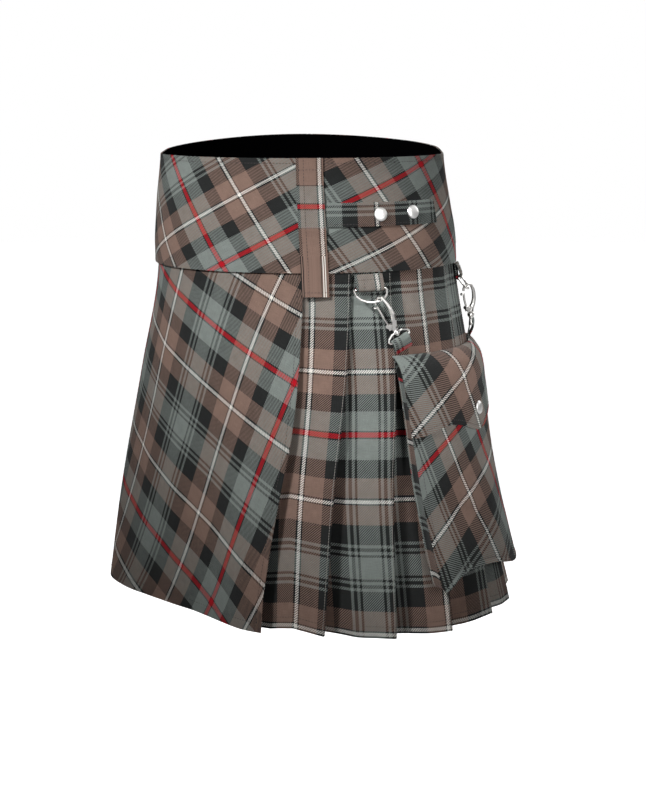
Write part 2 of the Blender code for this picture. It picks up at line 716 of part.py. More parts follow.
def build_hangers():
    for tag, deg, lean, across, share, yaw in HANGERS:
        bar_z = -0.1135
        r = RING + 0.0005 + PLY / 2
        off = 0.0048 + r + PLY / 2
        f = place(math.radians(deg), bar_z, off, spin=-lean)
        side_view = hung_strip(0.0134, r, lean=-(r - 0.0006))
        strip("ring_tab_" + tag, side_view, PLY / 2, 0.0265, f, "tartan_cloth")
        hang = f @ Matrix.Rotation(math.radians(-28), 4, "X")
        path = ring_path(RING_WIDTH, RING_DROP)
        tube("d_ring_" + tag, path, RING, hang, "nickel_plate", closed=True)
        # the clip's loop stands over the pocket's back seam
        top_z = POCKET_TOP + 0.0175
        th = float(pocket_angle(share, POCKET_TOP))
        r2 = EYE + 0.0005 + PLY / 2
        off2 = float(pocket_back(POCKET_TOP)) + 0.0040 + r2
        g = place(th, top_z, off2)
        low = RING_DROP - 2 * RING
        w = RING_WIDTH / 2 - RING
        a = math.acos(across / w)
        touch = hang @ Vector((across, 0, -0.0015 - (low - 0.0015) * math.sin(a)**0.9))
        out = (f.to_3x3() @ Vector((0, -1, 0))).normalized()
        top = touch + (touch - g.translation).normalized() * (RING + 0.0014 + 0.0007)
        clip(tag, g.translation, top, out, yaw)
        fixed, _ = clip_frame(g.translation, top, out, 0.0)
        side_view = hung_strip(0.0134 if tag == "side" else 0.0116, r2, lean=-(r2 + 0.0020))
        strip("pocket_tab_" + tag, [(o, -z) for o, z in side_view], PLY / 2, 0.0176, fixed, "tartan_cloth")


def main():
    for ob in list(bpy.data.objects):
        bpy.data.objects.remove(ob, do_unlink=True)
    build_yoke()
    build_pleats()
    build_aprons()
    build_loop_and_strap()
    build_pocket()
    build_hangers()
    for ob in bpy.data.objects:
        if ob.data.materials[0].name == "nickel_plate":
            ob.data.shade_smooth()
            ob.data.set_sharp_from_angle(angle=math.radians(42))


main()
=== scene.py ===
"""How a tartan wrap skirt looks: woven cloth shells on the made solids, sewing, metal and a plain studio.

Metres, +Z up, front faces -Y. Angles run from the front towards +X.
"""
import json
import math

import bpy
import numpy as np
from mathutils import Matrix, Vector

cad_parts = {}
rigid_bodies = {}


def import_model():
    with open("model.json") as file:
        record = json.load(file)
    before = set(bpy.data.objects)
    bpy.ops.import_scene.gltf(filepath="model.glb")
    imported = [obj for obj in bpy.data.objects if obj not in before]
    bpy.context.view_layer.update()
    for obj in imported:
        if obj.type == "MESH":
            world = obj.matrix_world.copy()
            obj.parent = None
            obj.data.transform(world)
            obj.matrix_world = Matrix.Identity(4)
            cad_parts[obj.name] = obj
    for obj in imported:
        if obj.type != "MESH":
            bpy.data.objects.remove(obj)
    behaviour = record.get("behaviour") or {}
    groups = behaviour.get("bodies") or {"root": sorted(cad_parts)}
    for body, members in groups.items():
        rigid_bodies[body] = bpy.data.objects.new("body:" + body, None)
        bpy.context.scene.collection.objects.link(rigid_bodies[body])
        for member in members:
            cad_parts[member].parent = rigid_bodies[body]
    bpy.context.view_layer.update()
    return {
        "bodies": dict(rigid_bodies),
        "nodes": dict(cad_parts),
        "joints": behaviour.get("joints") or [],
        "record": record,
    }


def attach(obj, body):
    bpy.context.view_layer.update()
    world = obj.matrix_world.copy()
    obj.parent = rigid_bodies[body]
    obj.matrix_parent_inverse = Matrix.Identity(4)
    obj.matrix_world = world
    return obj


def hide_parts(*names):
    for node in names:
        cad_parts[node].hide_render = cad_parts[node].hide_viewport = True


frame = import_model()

# the body surface, as the solids have it
# z, half width, front depth, back depth, sideways shift, roundness power
SECTIONS = (
    (0.020, 0.1318, 0.0950, 0.0980, 0.0005, 2.00),
    (0.000, 0.1326, 0.0960, 0.1000, 0.0005, 2.00),
    (-0.050, 0.1385, 0.1055, 0.1115, 0.0017, 2.05),
    (-0.100, 0.1395, 0.1120, 0.1210, 0.0040, 2.10),
    (-0.200, 0.1563, 0.1330, 0.1420, 0.0037, 2.20),
    (-0.300, 0.1714, 0.1490, 0.1590, 0.0010, 2.30),
    (-0.430, 0.1963, 0.1715, 0.1815, 0.0056, 2.35),
)
TABLE = np.array(SECTIONS)[::-1]
# the apron hangs flatter than a round body: middle and half span (deg), depth at the hem
FLAT = (-46.0, 45.0, 0.031)
FLAT_LENGTH = 0.311     # from the yoke seam to where it is that deep

Z_SEAM = -0.0990        # lower edge of the yoke
Z_TUCK = -0.0910        # upper edge of skirt cloth, under the yoke
Z_LOW = -0.416          # mean height of the hem
RIM_FRONT, RIM_BACK = 0.0030, 0.0168
GAP = 0.0003

# angle (deg), height of the hem there
HEM_LINE = (
    (-180, -0.4140), (-130, -0.4135), (-90, -0.4120), (-76, -0.4104), (-63, -0.4103), (-52, -0.4122),
    (-41, -0.4142), (-30, -0.4177), (-20, -0.4198), (-12, -0.4201), (-4, -0.4162), (6, -0.4212),
    (15, -0.4254), (27, -0.4258), (38, -0.4276), (50, -0.4270), (60, -0.4240), (72, -0.4266),
    (90, -0.4250), (115, -0.4210), (180, -0.4140),
)

# knife pleat folds: angle at the yoke seam, angle at the hem, height of the fold at the hem
FOLDS = (
    (21.0, 5.4, 0.0090),
    (39.2, 26.2, 0.0085),
    (54.3, 43.8, 0.0046),
    (70.0, 61.0, 0.0042),
    (86.0, 77.5, 0.0045),
    (102.0, 93.5, 0.0058),
    (118.5, 109.0, 0.0080),
    (134.0, 124.0, 0.0085),
    (149.0, 138.5, 0.0085),
    (164.0, 153.0, 0.0085),
    (179.0, 168.0, 0.0085),
    (194.0, 183.5, 0.0085),
    (209.0, 199.0, 0.0085),
    (224.5, 215.0, 0.0085),
    (241.0, 232.5, 0.0080),
    (258.0, 252.0, 0.0075),
)
LAST_FOLD = len(FOLDS) - 1
PLY = 0.0010            # pleated cloth
STEP = PLY + 0.0004     # from one folded layer to the next
LEVEL = (PLY / 2, PLY / 2 + STEP, PLY / 2 + 2 * STEP)

# apron's free edge: share of the way down, angle
APRON_EDGE = (
    (0.0, -0.4), (0.05, -0.8), (0.32, -2.4), (0.49, -4.2), (0.77, -10.0), (0.90, -12.4), (1.0, -13.1),
)
APRON_LAP = 0.0120      # how far the apron covers the first pleat


def section_row(z):
    """Half width, front, back, shift and power at a height, by cubic pieces."""
    zs = TABLE[:, 0]
    z = np.asarray(z, float)
    i = np.clip(np.searchsorted(zs, z) - 1, 0, len(zs) - 2)
    h = zs[i + 1] - zs[i]
    t = np.clip((z - zs[i]) / h, 0.0, 1.0)
    out = []
    for c in range(1, 6):
        v = TABLE[:, c]
        m = np.gradient(v, zs)
        out.append((2 * t**3 - 3 * t**2 + 1) * v[i] + (t**3 - 2 * t**2 + t) * h * m[i]
                   + (-2 * t**3 + 3 * t**2) * v[i + 1] + (t**3 - t**2) * h * m[i + 1])
    return out


def plan(th, z):
    """Point of the body surface seen from above."""
    half, front, back, shift, power = section_row(z)
    s, c = np.sin(th), np.cos(th)
    deep = np.where(c > 0, front, back)
    r = ((np.abs(s) / half)**power + (np.abs(c) / deep)**power)**(-1 / power)
    w = np.clip(((np.degrees(th) - FLAT[0] + 180) % 360 - 180) / FLAT[1], -1, 1)
    drop = np.clip((Z_SEAM - z) / FLAT_LENGTH, 0, 1.1)
    r = r - FLAT[2] * drop**1.2 * np.cos(w * math.pi / 2)**2
    return shift + r * s, -r * c


def point(th, z, off):
    """Point at an angle and height, laid out from the body surface."""
    th, z, off = np.broadcast_arrays(np.asarray(th, float), np.asarray(z, float), np.asarray(off, float))
    x, y = plan(th, z)
    x1, y1 = plan(th + 1e-3, z)
    x0, y0 = plan(th - 1e-3, z)
    tx, ty = x1 - x0, y1 - y0
    n = np.hypot(tx, ty)
    return np.stack([x + off * ty / n, y - off * tx / n, z], -1)


ARC_DEGREES = np.arange(-220.0, 321.0, 1.0)


def arc(z):
    """Angles and the distance along the section at one height."""
    th = np.radians(ARC_DEGREES)
    x, y = plan(th, z)
    s = np.concatenate([[0.0], np.cumsum(np.hypot(np.diff(x), np.diff(y)))])
    return th, s - np.interp(0.0, th, s)


def rim(th):
    turn = np.abs((np.degrees(th) + 180) % 360 - 180)
    t = np.clip((turn - 88) / 92, 0, 1)
    rise = (np.sin(t * math.pi / 2) + 1e-9)**(0.85 - 0.15 * np.sin(th)) * smooth(0, 0.15, t)
    return RIM_FRONT + (RIM_BACK - RIM_FRONT) * rise


def hem(th):
    deg = (np.degrees(th) + 180) % 360 - 180
    a = np.array(HEM_LINE)
    return np.interp(deg, a[:, 0], a[:, 1])


def smooth(a, b, x):
    t = np.clip((x - a) / (b - a), 0, 1)
    return t * t * (3 - 2 * t)


def place(th, z, off, spin=0.0):
    """Frame on the surface: X along the angle, Y into the body, Z up the cloth."""
    e = 1e-3
    p = Vector(point(th, z, off))
    up = Vector(point(th, z + e, off) - point(th, z - e, off)).normalized()
    along = Vector(point(th + e, z, off) - point(th - e, z, off)).normalized()
    out = along.cross(up).normalized()
    up = out.cross(along).normalized()
    m = Matrix((along, -out, up)).transposed().to_4x4()
    m.translation = p
    return m @ Matrix.Rotation(spin, 4, "Y")


def offsets(line, half):
    """Both sides of a 2-D line at half a thickness, with mitred corners."""
    line = np.asarray(line, float)
    d = np.diff(line, axis=0)
    d /= np.linalg.norm(d, axis=1)[:, None]
    n = np.stack([-d[:, 1], d[:, 0]], -1)
    first, last = n[:1], n[-1:]
    mid = n[:-1] + n[1:]
    mid /= np.linalg.norm(mid, axis=1)[:, None]
    mid /= np.maximum(np.sum(mid * n[1:], axis=1), 0.5)[:, None]
    n = np.concatenate([first, mid, last])
    return line + n * half, line - n * half


def distances(line):
    """Distance run along a line at each of its points."""
    return np.concatenate([[0.0], np.cumsum(np.linalg.norm(np.diff(line, axis=0), axis=1))])


YOKE = 0.0013


def yoke_inner(z):
    """The yoke stands further out lower down, where it covers the top of the skirt."""
    return 0.0015 + 0.0030 * smooth(-0.045, -0.086, z)


def yoke_outer(z):
    return yoke_inner(z) + YOKE


def row_height(v):
    return Z_TUCK + (Z_LOW - Z_TUCK) * v


def fold_angle(k, v):
    """Angle of a fold's edge at a share of the way down."""
    seam, low, _ = FOLDS[k]
    w = max(0.0, (v - 0.025) / 0.975)
    return math.radians(seam + (low - seam) * w**0.92)


def underlay(v):
    """How far a fold's hidden layers reach back behind its edge."""
    return 0.0120 + 0.0060 * v


def fold_height(k, v):
    """How far out a fold's edge stands."""
    return LEVEL[2] + (FOLDS[k][2] - LEVEL[2]) * v**1.2


def apron_edge(v):
    a = np.array(APRON_EDGE)
    return math.radians(np.interp(v, a[:, 0], a[:, 1]))


def levels(v):
    """Middle lines of the three folded layers; the cloth sinks deeper between the folds lower down."""
    base = PLY / 2 - 0.0075 * v**1.15
    return base, base + STEP, base + 2 * STEP


def tucked_back(e, d, level):
    """The hidden crease behind a fold's edge: back by d, round, and forward again below it."""
    r = STEP / 2
    c = e - d + r
    return [(c, level[1]), (c - r, level[0] + r), (c, level[0]), (e, level[0] + 0.0001)]


def pleat_line(v, first, last, th, s):
    """Cross-section of the cloth through folds first..last as (distance, outwards)."""
    level = levels(v)
    at = lambda k: float(np.interp(fold_angle(k, v), th, s))
    d, r = underlay(v), STEP / 2
    pts = []
    if first == 0:
        edge = float(np.interp(apron_edge(v), th, s))
        pts += [(edge - APRON_LAP, level[0]), (edge - 0.002, level[0])]
    else:
        e = at(first - 1)
        h = fold_height(first - 1, v) - STEP
        pts.append((e - 0.5 * d - GAP, (h + level[1]) / 2))
        pts += tucked_back(e, d, level)
    for k in range(first, last + 1):
        e, high = at(k), fold_height(k, v)
        begin = pts[-1][0]
        m = level[2] + 0.55 * (high - level[2])
        wide = e - d - begin
        # share of the way across, share of the way out
        for f, g in ((0.22, 0.05), (0.42, 0.22), (0.62, 0.52), (0.82, 0.84)):
            pts.append((begin + f * wide, level[0] + g * (m - level[0])))
        pts.append((e - d, m))
        pts.append((e - 0.50 * d, m + 0.55 * (high - m)))
        pts.append((e - 0.25 * d, m + 0.85 * (high - m)))
        pts += [(e - r, high), (e, high - r), (e - r, high - STEP)]
        pts.append((e - 0.5 * d, (high - STEP + level[1]) / 2))
        if k < last:
            pts += tucked_back(e, d, level)
    return pts


def apron_rise(v):
    """Height of the apron's middle line at its free edge."""
    return 0.0031 + 0.0052 * v**1.2


STRAP = 0.0015
STRAP_Z = (-0.0582, -0.0368)
# belt loop: height, clearance over the yoke
LOOP_PROFILE = (
    (-0.1200, 0.0004), (-0.1090, 0.0004), (-0.0990, 0.0004), (-0.0850, 0.0004), (-0.0680, 0.0004),
    (-0.0605, 0.0023), (-0.0475, 0.0024), (-0.0345, 0.0023), (-0.0280, 0.0005), (-0.0130, 0.0004),
)
LOOP_TOP = 0.0032
LOOP_HALF = 0.0125
RING = 0.0011           # half the D-ring wire
RING_BAR = -0.1135      # height of its straight bar
RING_WIDTH = 0.0335     # outside, along the bar
RING_DROP = 0.0165      # outside, below the bar
RING_HANG = -28         # deg, from the bar's own frame
EYE = 0.0012            # half the clip loop wire
# name, angle of the tab (deg), lean of the tab, hook along the ring, place on the pocket, length of its tab
HANGERS = (
    ("front", 28.0, 0.035, 0.0062, -0.93, 0.0116),
    ("side", 83.5, 0.0, 0.0040, 0.66, 0.0134),
)

POCKET_HALF = 0.0820
POCKET_TOP, POCKET_LOW, POCKET_MOUTH = -0.1758, -0.3835, -0.1935


def pocket_share(z):
    return np.clip((POCKET_TOP - z) / (POCKET_TOP - POCKET_LOW), 0, 1)


# place across the pocket, how far its lower edge is lifted there
POCKET_LIFT = (
    (-1.0, -0.0070), (-0.88, 0.0030), (-0.77, 0.0100), (-0.66, 0.0130), (-0.55, 0.0140), (-0.33, 0.0140),
    (-0.22, 0.0130), (0.0, 0.0080), (0.22, 0.0028), (0.44, 0.0), (1.0, 0.0),
)


def pocket_lift(u, z):
    a = np.array(POCKET_LIFT)
    u = np.asarray(u, float)
    soft = sum(np.interp(u + step, a[:, 0], a[:, 1]) for step in (-0.05, 0.0, 0.05)) / 3
    return soft * smooth(0.55, 1.0, pocket_share(z))


def pocket_back(z):
    return 0.0056 + 0.0036 * pocket_share(z)


def pocket_depth(u, z):
    k = pocket_share(z)
    near, far = 0.0100 + 0.0080 * k, 0.0075 + 0.0015 * k
    return near + (far - near) * (np.asarray(u) + 1) / 2


def pocket_angle(u, z):
    th, s = arc(z)
    mid = math.radians(66.8 - 2.5 * float(pocket_share(z)))
    return np.interp(np.interp(mid, th, s) + np.asarray(u) * POCKET_HALF, s, th)


def pocket_edge(z, r=0.010):
    """Share of the half width at a height: the lower corners are rounded."""
    up = z - POCKET_LOW
    return 1.0 if up >= r else 1.0 - (r - math.sqrt(max(0.0, r * r - (r - up)**2))) / POCKET_HALF


def flap_low(u):
    return -0.2455 - 0.0050 * np.cos(2 * math.pi * np.asarray(u)) + 0.0045 * np.abs(u)**2


def hung_strip(length, radius, lean=0.0):
    """Side view of a folded tab: up from the bar on both sides to the seam."""
    pts = [(lean - STEP / 2, length), (-radius * 0.9, length * 0.30), (-radius, 0.0)]
    for a in (225, 270, 315):
        w = math.radians(a)
        pts.append((radius * math.cos(w), radius * math.sin(w)))
    pts += [(radius, 0.0), (radius * 0.9, length * 0.30), (lean + STEP / 2, length)]
    return pts


def clip_frame(base, top, out):
    """Frame of a clip: Z from its loop to its hook, Y into the body."""
    up = (top - base).normalized()
    side = up.cross(out).normalized()
    front = side.cross(up).normalized()
    m = Matrix((side, -front, up)).transposed().to_4x4()
    m.translation = base
    return m


# the cloth's own fall: middle angle (deg), height, half length and half width (mm), lean from
# upright (deg), height of the ridge or depth of the trough (m)
CREASES = (
    # soft ridges and troughs of the front
    (-62, -150, 60, 13, 4, 0.0012),
    (-50, -330, 95, 16, -3, 0.0022),
    (-33, -345, 85, 13, -4, -0.0016),
    (-72, -300, 110, 15, 3, -0.0018),
    (-20, -370, 60, 11, -5, 0.0012),
    (-88, -330, 100, 17, 0, 0.0020),
    (-40, -125, 16, 20, 70, -0.0007),
    (-70, -118, 14, 24, 76, 0.0008),
    (-58, -72, 18, 26, 62, 0.0007),
    (-80, -58, 22, 18, 40, -0.0007),
    (-30, -80, 12, 26, 80, -0.0006),
    (62, -84, 12, 18, 72, 0.0008),
    (77, -70, 22, 14, 30, -0.0009),
    (88, -64, 24, 12, 12, 0.0011),
    (96, -60, 26, 12, -14, -0.0009),
    (22, -86, 8, 26, 84, 0.0005),
    # the sides and back, which aren't seen, fall in the same way
    (-104, -66, 26, 13, 16, 0.0009),
    (-118, -84, 16, 24, 68, -0.0008),
    (-140, -70, 22, 22, 52, 0.0008),
    (-165, -88, 12, 26, 80, -0.0007),
    (122, -80, 16, 24, 66, -0.0008),
    (146, -62, 24, 20, 40, 0.0008),
    (168, -86, 12, 28, 82, 0.0007),
    (115, -330, 100, 15, 3, 0.0016),
    (140, -350, 80, 14, -4, -0.0015),
    (168, -320, 110, 17, 2, 0.0018),
    (-165, -350, 90, 15, -3, -0.0016),
    (-140, -330, 100, 16, 4, 0.0018),
    (-112, -345, 90, 14, 0, -0.0014),
)
MEAN_RADIUS = 0.150     # turns a crease's angle into a distance
# distances along the sections: a row for each centimetre of height from -0.45
ARC_TABLE = np.array([arc(z)[1] for z in np.linspace(-0.45, 0.03, 49)])


def along(th, z):
    """Distance along the section from the front, for arrays of angles and heights."""
    s = ARC_TABLE
    th, z = np.broadcast_arrays(np.asarray(th, float), np.asarray(z, float))
    fz = np.clip((z + 0.45) / 0.01, 0, 47.999)
    ft = np.clip((np.degrees(th) + 220.0), 0, 539.999)
    i, j = fz.astype(int), ft.astype(int)
    a, b = fz - i, ft - j
    return (s[i, j] * (1 - a) * (1 - b) + s[i + 1, j] * a * (1 - b)
            + s[i, j + 1] * (1 - a) * b + s[i + 1, j + 1] * a * b)


def fall(th, z):
    """How far the cloth stands from the smooth body: the creases, added up."""
    th, z = np.broadcast_arrays(np.asarray(th, float), np.asarray(z, float))
    turn = (np.degrees(th) + 180) % 360 - 180
    total = np.zeros(th.shape)
    for deg, mid, half, wide, lean, high in CREASES:
        dx = ((turn - deg + 180) % 360 - 180) * math.pi / 180 * MEAN_RADIUS
        dz = z - mid / 1000
        c, s = math.cos(math.radians(lean)), math.sin(math.radians(lean))
        p, q = dx * c - dz * s, dx * s + dz * c
        total = total + high * np.exp(-(p / (wide / 1000))**2 - (q / (half / 1000))**2)
    # the cloth lies flat behind the two hangers
    keep = 1.0
    for deg, wide, mid, half in ((28, 11, -0.115, 0.025), (83.5, 12, -0.120, 0.03)):
        keep = keep * (1 - 0.9 * np.exp(-((turn - deg) / wide)**2 - ((z - mid) / half)**2))
    return total * keep


def cloth_point(th, z, off):
    return point(th, z, np.asarray(off) + fall(th, z))


# meshes
def mesh_object(name, verts, faces, uv=None):
    mesh = bpy.data.meshes.new(name)
    faces = np.asarray(faces, np.int32)
    n = len(faces)
    mesh.vertices.add(len(verts))
    mesh.vertices.foreach_set("co", np.asarray(verts, np.float32).ravel())
    mesh.loops.add(n * 4)
    mesh.loops.foreach_set("vertex_index", faces.ravel())
    mesh.polygons.add(n)
    mesh.polygons.foreach_set("loop_start", np.arange(0, 4 * n, 4, dtype=np.int32))
    if uv is not None:
        layer = mesh.uv_layers.new(name="grain")
        layer.uv.foreach_set("vector", np.asarray(uv, np.float32).ravel())
    mesh.update(calc_edges=True)
    mesh.validate()
    ob = bpy.data.objects.new(name, mesh)
    bpy.context.scene.collection.objects.link(ob)
    mesh.shade_smooth()
    mesh.set_sharp_from_angle(angle=math.radians(60))
    return ob


def shell(name, outer, inner, u, v, ring=False, u_right=None):
    """Thin cloth between two grids of points; u and v are the grain coordinates in mm.

    u_right, where given, is u at the right end of each column and u at its left end,
    so the grain may start afresh at a hidden crease.
    """
    rows, cols = outer.shape[:2]
    n = rows * cols
    verts = np.concatenate([outer.reshape(-1, 3), inner.reshape(-1, 3)])
    span = cols if ring else cols - 1
    j, i = np.meshgrid(np.arange(rows - 1), np.arange(span), indexing="ij")
    k = (i + 1) % cols
    a, b, c, d = j * cols + i, j * cols + k, (j + 1) * cols + k, (j + 1) * cols + i
    left, right = u, u_right
    if right is None:
        step = u[:, 1:] - u[:, :-1]
        if ring:
            step = np.concatenate([step, step[:, -1:]], 1)
        left = u[:, :span]
        right = left + step
    left, right = np.stack([left, v[:, :span]], -1), np.stack([right, v[:, k[0]]], -1)
    front = np.stack([a, b, c, d], -1).reshape(-1, 4)
    uvf = np.stack([left[:-1], right[:-1], right[1:], left[1:]], 2).reshape(-1, 4, 2)
    back = front[:, ::-1] + n
    faces = [front, back]
    uvs = [uvf, uvf[:, ::-1]]
    last = (rows - 1) * cols
    i = np.arange(span)
    k = (i + 1) % cols
    faces += [np.stack([i, n + i, n + k, k], -1),
              np.stack([last + i, last + k, n + last + k, n + last + i], -1)]
    g = uvf.reshape(rows - 1, span, 4, 2)
    uvs += [np.stack([g[0, :, 0], g[0, :, 0], g[0, :, 1], g[0, :, 1]], 1),
            np.stack([g[-1, :, 3], g[-1, :, 2], g[-1, :, 2], g[-1, :, 3]], 1)]
    if not ring:
        j = np.arange(rows - 1)
        a, b = j * cols, (j + 1) * cols
        c, d = a + cols - 1, b + cols - 1
        faces += [np.stack([a, b, n + b, n + a], -1), np.stack([c, n + c, n + d, d], -1)]
        uvs += [np.stack([g[:, 0, 0], g[:, 0, 3], g[:, 0, 3], g[:, 0, 0]], 1),
                np.stack([g[:, -1, 1], g[:, -1, 1], g[:, -1, 2], g[:, -1, 2]], 1)]
    return mesh_object(name, verts, np.concatenate(faces), np.concatenate(uvs) / 1000.0)


def finish_piece(ob, mat, node, grid):
    """Cloth of the skirt in place of its solid; works out the area of its grid of points."""
    ob.data.materials.append(mat)
    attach(ob, "skirt")
    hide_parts(node)
    # the area of its quads
    p, q = grid[1:, 1:] - grid[:-1, :-1], grid[1:, :-1] - grid[:-1, 1:]
    area = float(np.linalg.norm(np.cross(p, q), axis=2).sum() / 2)
    return ob


# materials
def srgb(r, g, b):
    return tuple((c / 255 / 12.92 if c <= 10 else ((c / 255 + 0.055) / 1.055)**2.4) for c in (r, g, b))


SLATE, BLACK, BROWN = srgb(131, 138, 134), srgb(43, 44, 44), srgb(135, 111, 100)
WHITE, RED = srgb(236, 233, 226), srgb(188, 28, 40)
HALF = 114.8            # half of the sett in mm, from the middle of the red to the middle of the slate
SETT_PARTS = 130.0      # HALF in parts
# colour, share of the cloth's face that the line takes, end of the stripe in parts
SETT = (
    (RED, 0.58, 2.3), (BLACK, 0.5, 3.8), (SLATE, 0.5, 24.0), (BLACK, 0.5, 42.0), (BROWN, 0.5, 61.2),
    (BLACK, 0.5, 63.0), (WHITE, 0.47, 67.0), (BLACK, 0.5, 68.4), (BROWN, 0.5, 87.5), (BLACK, 0.5, 107.0),
    (SLATE, 0.5, 110.0), (BLACK, 0.5, 113.3), (SLATE, 0.5, 116.3), (BLACK, 0.5, 119.3), (SLATE, 0.5, 130.0),
)
THREAD, WALE = 0.55, 2.20       # one thread and one diagonal of the twill in mm
CRISP = 3.4                     # how sharply one thread passes under the other


class Nodes:
    """Small helper that wires a node tree."""

    def __init__(self, tree):
        self.tree = tree

    def add(self, kind, **values):
        n = self.tree.nodes.new(kind)
        for key, value in values.items():
            setattr(n, key, value)
        return n

    def link(self, a, b):
        self.tree.links.new(a, b)

    def math(self, op, a, b=None, c=None, clamp=False):
        n = self.add("ShaderNodeMath", operation=op, use_clamp=clamp)
        for slot, value in zip(n.inputs, (a, b, c)):
            if value is None:
                continue
            if isinstance(value, (int, float)):
                slot.default_value = value
            else:
                self.link(value, slot)
        return n.outputs[0]

    def mix(self, fac, a, b, blend="MIX"):
        n = self.add("ShaderNodeMix", data_type="RGBA", blend_type=blend)
        for slot, value in ((n.inputs[0], fac), (n.inputs[6], a), (n.inputs[7], b)):
            if isinstance(value, (int, float)):
                slot.default_value = value
            elif isinstance(value, tuple):
                slot.default_value = (*value[:3], 1)
            else:
                self.link(value, slot)
        return n.outputs[2]


def sett_ramp(t, position):
    """Colour of the sett's stripe at a position, and the share of the face that it takes."""
    ramp = t.add("ShaderNodeValToRGB")
    r = ramp.color_ramp
    r.interpolation = "CONSTANT"
    start = 0.0
    for i, (colour, share, end) in enumerate(SETT):
        e = r.elements[0] if i == 0 else (r.elements[1] if i == 1 else r.elements.new(start))
        e.position = start
        e.color = (*colour, share)
        start = end / SETT_PARTS
    t.link(position, ramp.inputs[0])
    return ramp.outputs[0], ramp.outputs[1]


def tartan_group():
    """Node group: grain coordinates in metres to the colour and height of a 2/2 twill."""
    tree = bpy.data.node_groups.new("tartan twill", "ShaderNodeTree")
    tree.interface.new_socket("Grain", in_out="INPUT", socket_type="NodeSocketVector")
    s = tree.interface.new_socket("Twill side", in_out="INPUT", socket_type="NodeSocketFloat")
    s.default_value = 1.0
    tree.interface.new_socket("Color", in_out="OUTPUT", socket_type="NodeSocketColor")
    tree.interface.new_socket("Height", in_out="OUTPUT", socket_type="NodeSocketFloat")
    t = Nodes(tree)
    inp, out = t.add("NodeGroupInput"), t.add("NodeGroupOutput")
    sep = t.add("ShaderNodeSeparateXYZ")
    t.link(inp.outputs[0], sep.inputs[0])
    u, v = t.math("MULTIPLY", sep.outputs[0], 1000.0), t.math("MULTIPLY", sep.outputs[1], 1000.0)
    cu, warp = sett_ramp(t, t.math("DIVIDE", t.math("PINGPONG", u, HALF), HALF))
    cv, weft = sett_ramp(t, t.math("DIVIDE", t.math("PINGPONG", v, HALF), HALF))
    # which thread is on top
    slant = t.math("ADD", u, t.math("MULTIPLY", v, inp.outputs[1]))
    diagonal = t.math("FRACT", t.math("DIVIDE", slant, WALE))
    share = t.math("ADD", 0.5, t.math("SUBTRACT", warp, weft))
    ridge = t.math("PINGPONG", t.math("MULTIPLY", diagonal, 2.0), 1.0)
    top = t.math("MULTIPLY", t.math("SUBTRACT", share, ridge), CRISP)
    top = t.math("ADD", top, 0.5, clamp=True)
    # the threads' own roundness, for their bump and as painted shade on each thread's sides, and slubs
    ru = t.math("SINE", t.math("MULTIPLY", t.math("FRACT", t.math("DIVIDE", u, THREAD)), math.pi))
    rv = t.math("SINE", t.math("MULTIPLY", t.math("FRACT", t.math("DIVIDE", v, THREAD)), math.pi))
    grain = []
    for a, b in ((1.9, 0.12), (0.12, 1.9)):
        scale = t.add("ShaderNodeCombineXYZ")
        t.link(t.math("MULTIPLY", u, a), scale.inputs[0])
        t.link(t.math("MULTIPLY", v, b), scale.inputs[1])
        noise = t.add("ShaderNodeTexNoise", noise_dimensions="2D")
        noise.inputs["Scale"].default_value = 1.0
        noise.inputs["Detail"].default_value = 1.0
        t.link(scale.outputs[0], noise.inputs["Vector"])
        grain.append(noise.outputs[0])

    # painted shade: colour darker towards each thread's sides by its roundness; the slub noise is the
    # cloth's real tone
    def rounded_shade_and_slubs(roundness, noise):
        k = t.math("ADD", 0.80, t.math("MULTIPLY", roundness, 0.20))
        return t.math("MULTIPLY", k, t.math("ADD", 0.72, t.math("MULTIPLY", noise, 0.56)))

    def shade(colour, k):
        n = t.add("ShaderNodeVectorMath", operation="SCALE")
        t.link(colour, n.inputs[0])
        t.link(k, n.inputs[3])
        return n.outputs[0]

    colour = t.mix(top, shade(cv, rounded_shade_and_slubs(rv, grain[1])), shade(cu, rounded_shade_and_slubs(ru, grain[0])))
    soft = t.add("ShaderNodeTexNoise", noise_dimensions="2D")
    soft.inputs["Scale"].default_value = 0.11
    soft.inputs["Detail"].default_value = 3.0
    spot = t.add("ShaderNodeCombineXYZ")
    t.link(u, spot.inputs[0])
    t.link(v, spot.inputs[1])
    t.link(spot.outputs[0], soft.inputs["Vector"])
    colour = shade(colour, t.math("ADD", 0.90, t.math("MULTIPLY", soft.outputs[0], 0.20)))
    t.link(colour, out.inputs[0])
    warp_high = t.math("MULTIPLY", ru, top)
    weft_high = t.math("MULTIPLY", rv, t.math("SUBTRACT", 1.0, top))
    threads = t.math("MULTIPLY", t.math("MAXIMUM", warp_high, weft_high), 0.6)
    floats = t.math("MULTIPLY", t.math("ABSOLUTE", t.math("SUBTRACT", top, 0.5)), 0.8)
    t.link(t.math("ADD", threads, floats), out.inputs[1])
    return tree


def tartan(name, side, group):
    m = bpy.data.materials.new(name)
    m.use_nodes = True
    t = Nodes(m.node_tree)
    b = m.node_tree.nodes["Principled BSDF"]
    uv = t.add("ShaderNodeUVMap", uv_map="grain")
    g = t.add("ShaderNodeGroup")
    g.node_tree = group
    g.inputs[1].default_value = side
    t.link(uv.outputs[0], g.inputs[0])
    t.link(g.outputs[0], b.inputs["Base Color"])
    bump = t.add("ShaderNodeBump")
    bump.inputs["Strength"].default_value = 0.45
    bump.inputs["Distance"].default_value = 0.0003
    t.link(g.outputs[1], bump.inputs["Height"])
    t.link(bump.outputs[0], b.inputs["Normal"])
    b.inputs["Roughness"].default_value = 0.86
    b.inputs["Specular IOR Level"].default_value = 0.03
    b.inputs["Sheen Weight"].default_value = 0.08
    b.inputs["Sheen Roughness"].default_value = 0.45
    return m


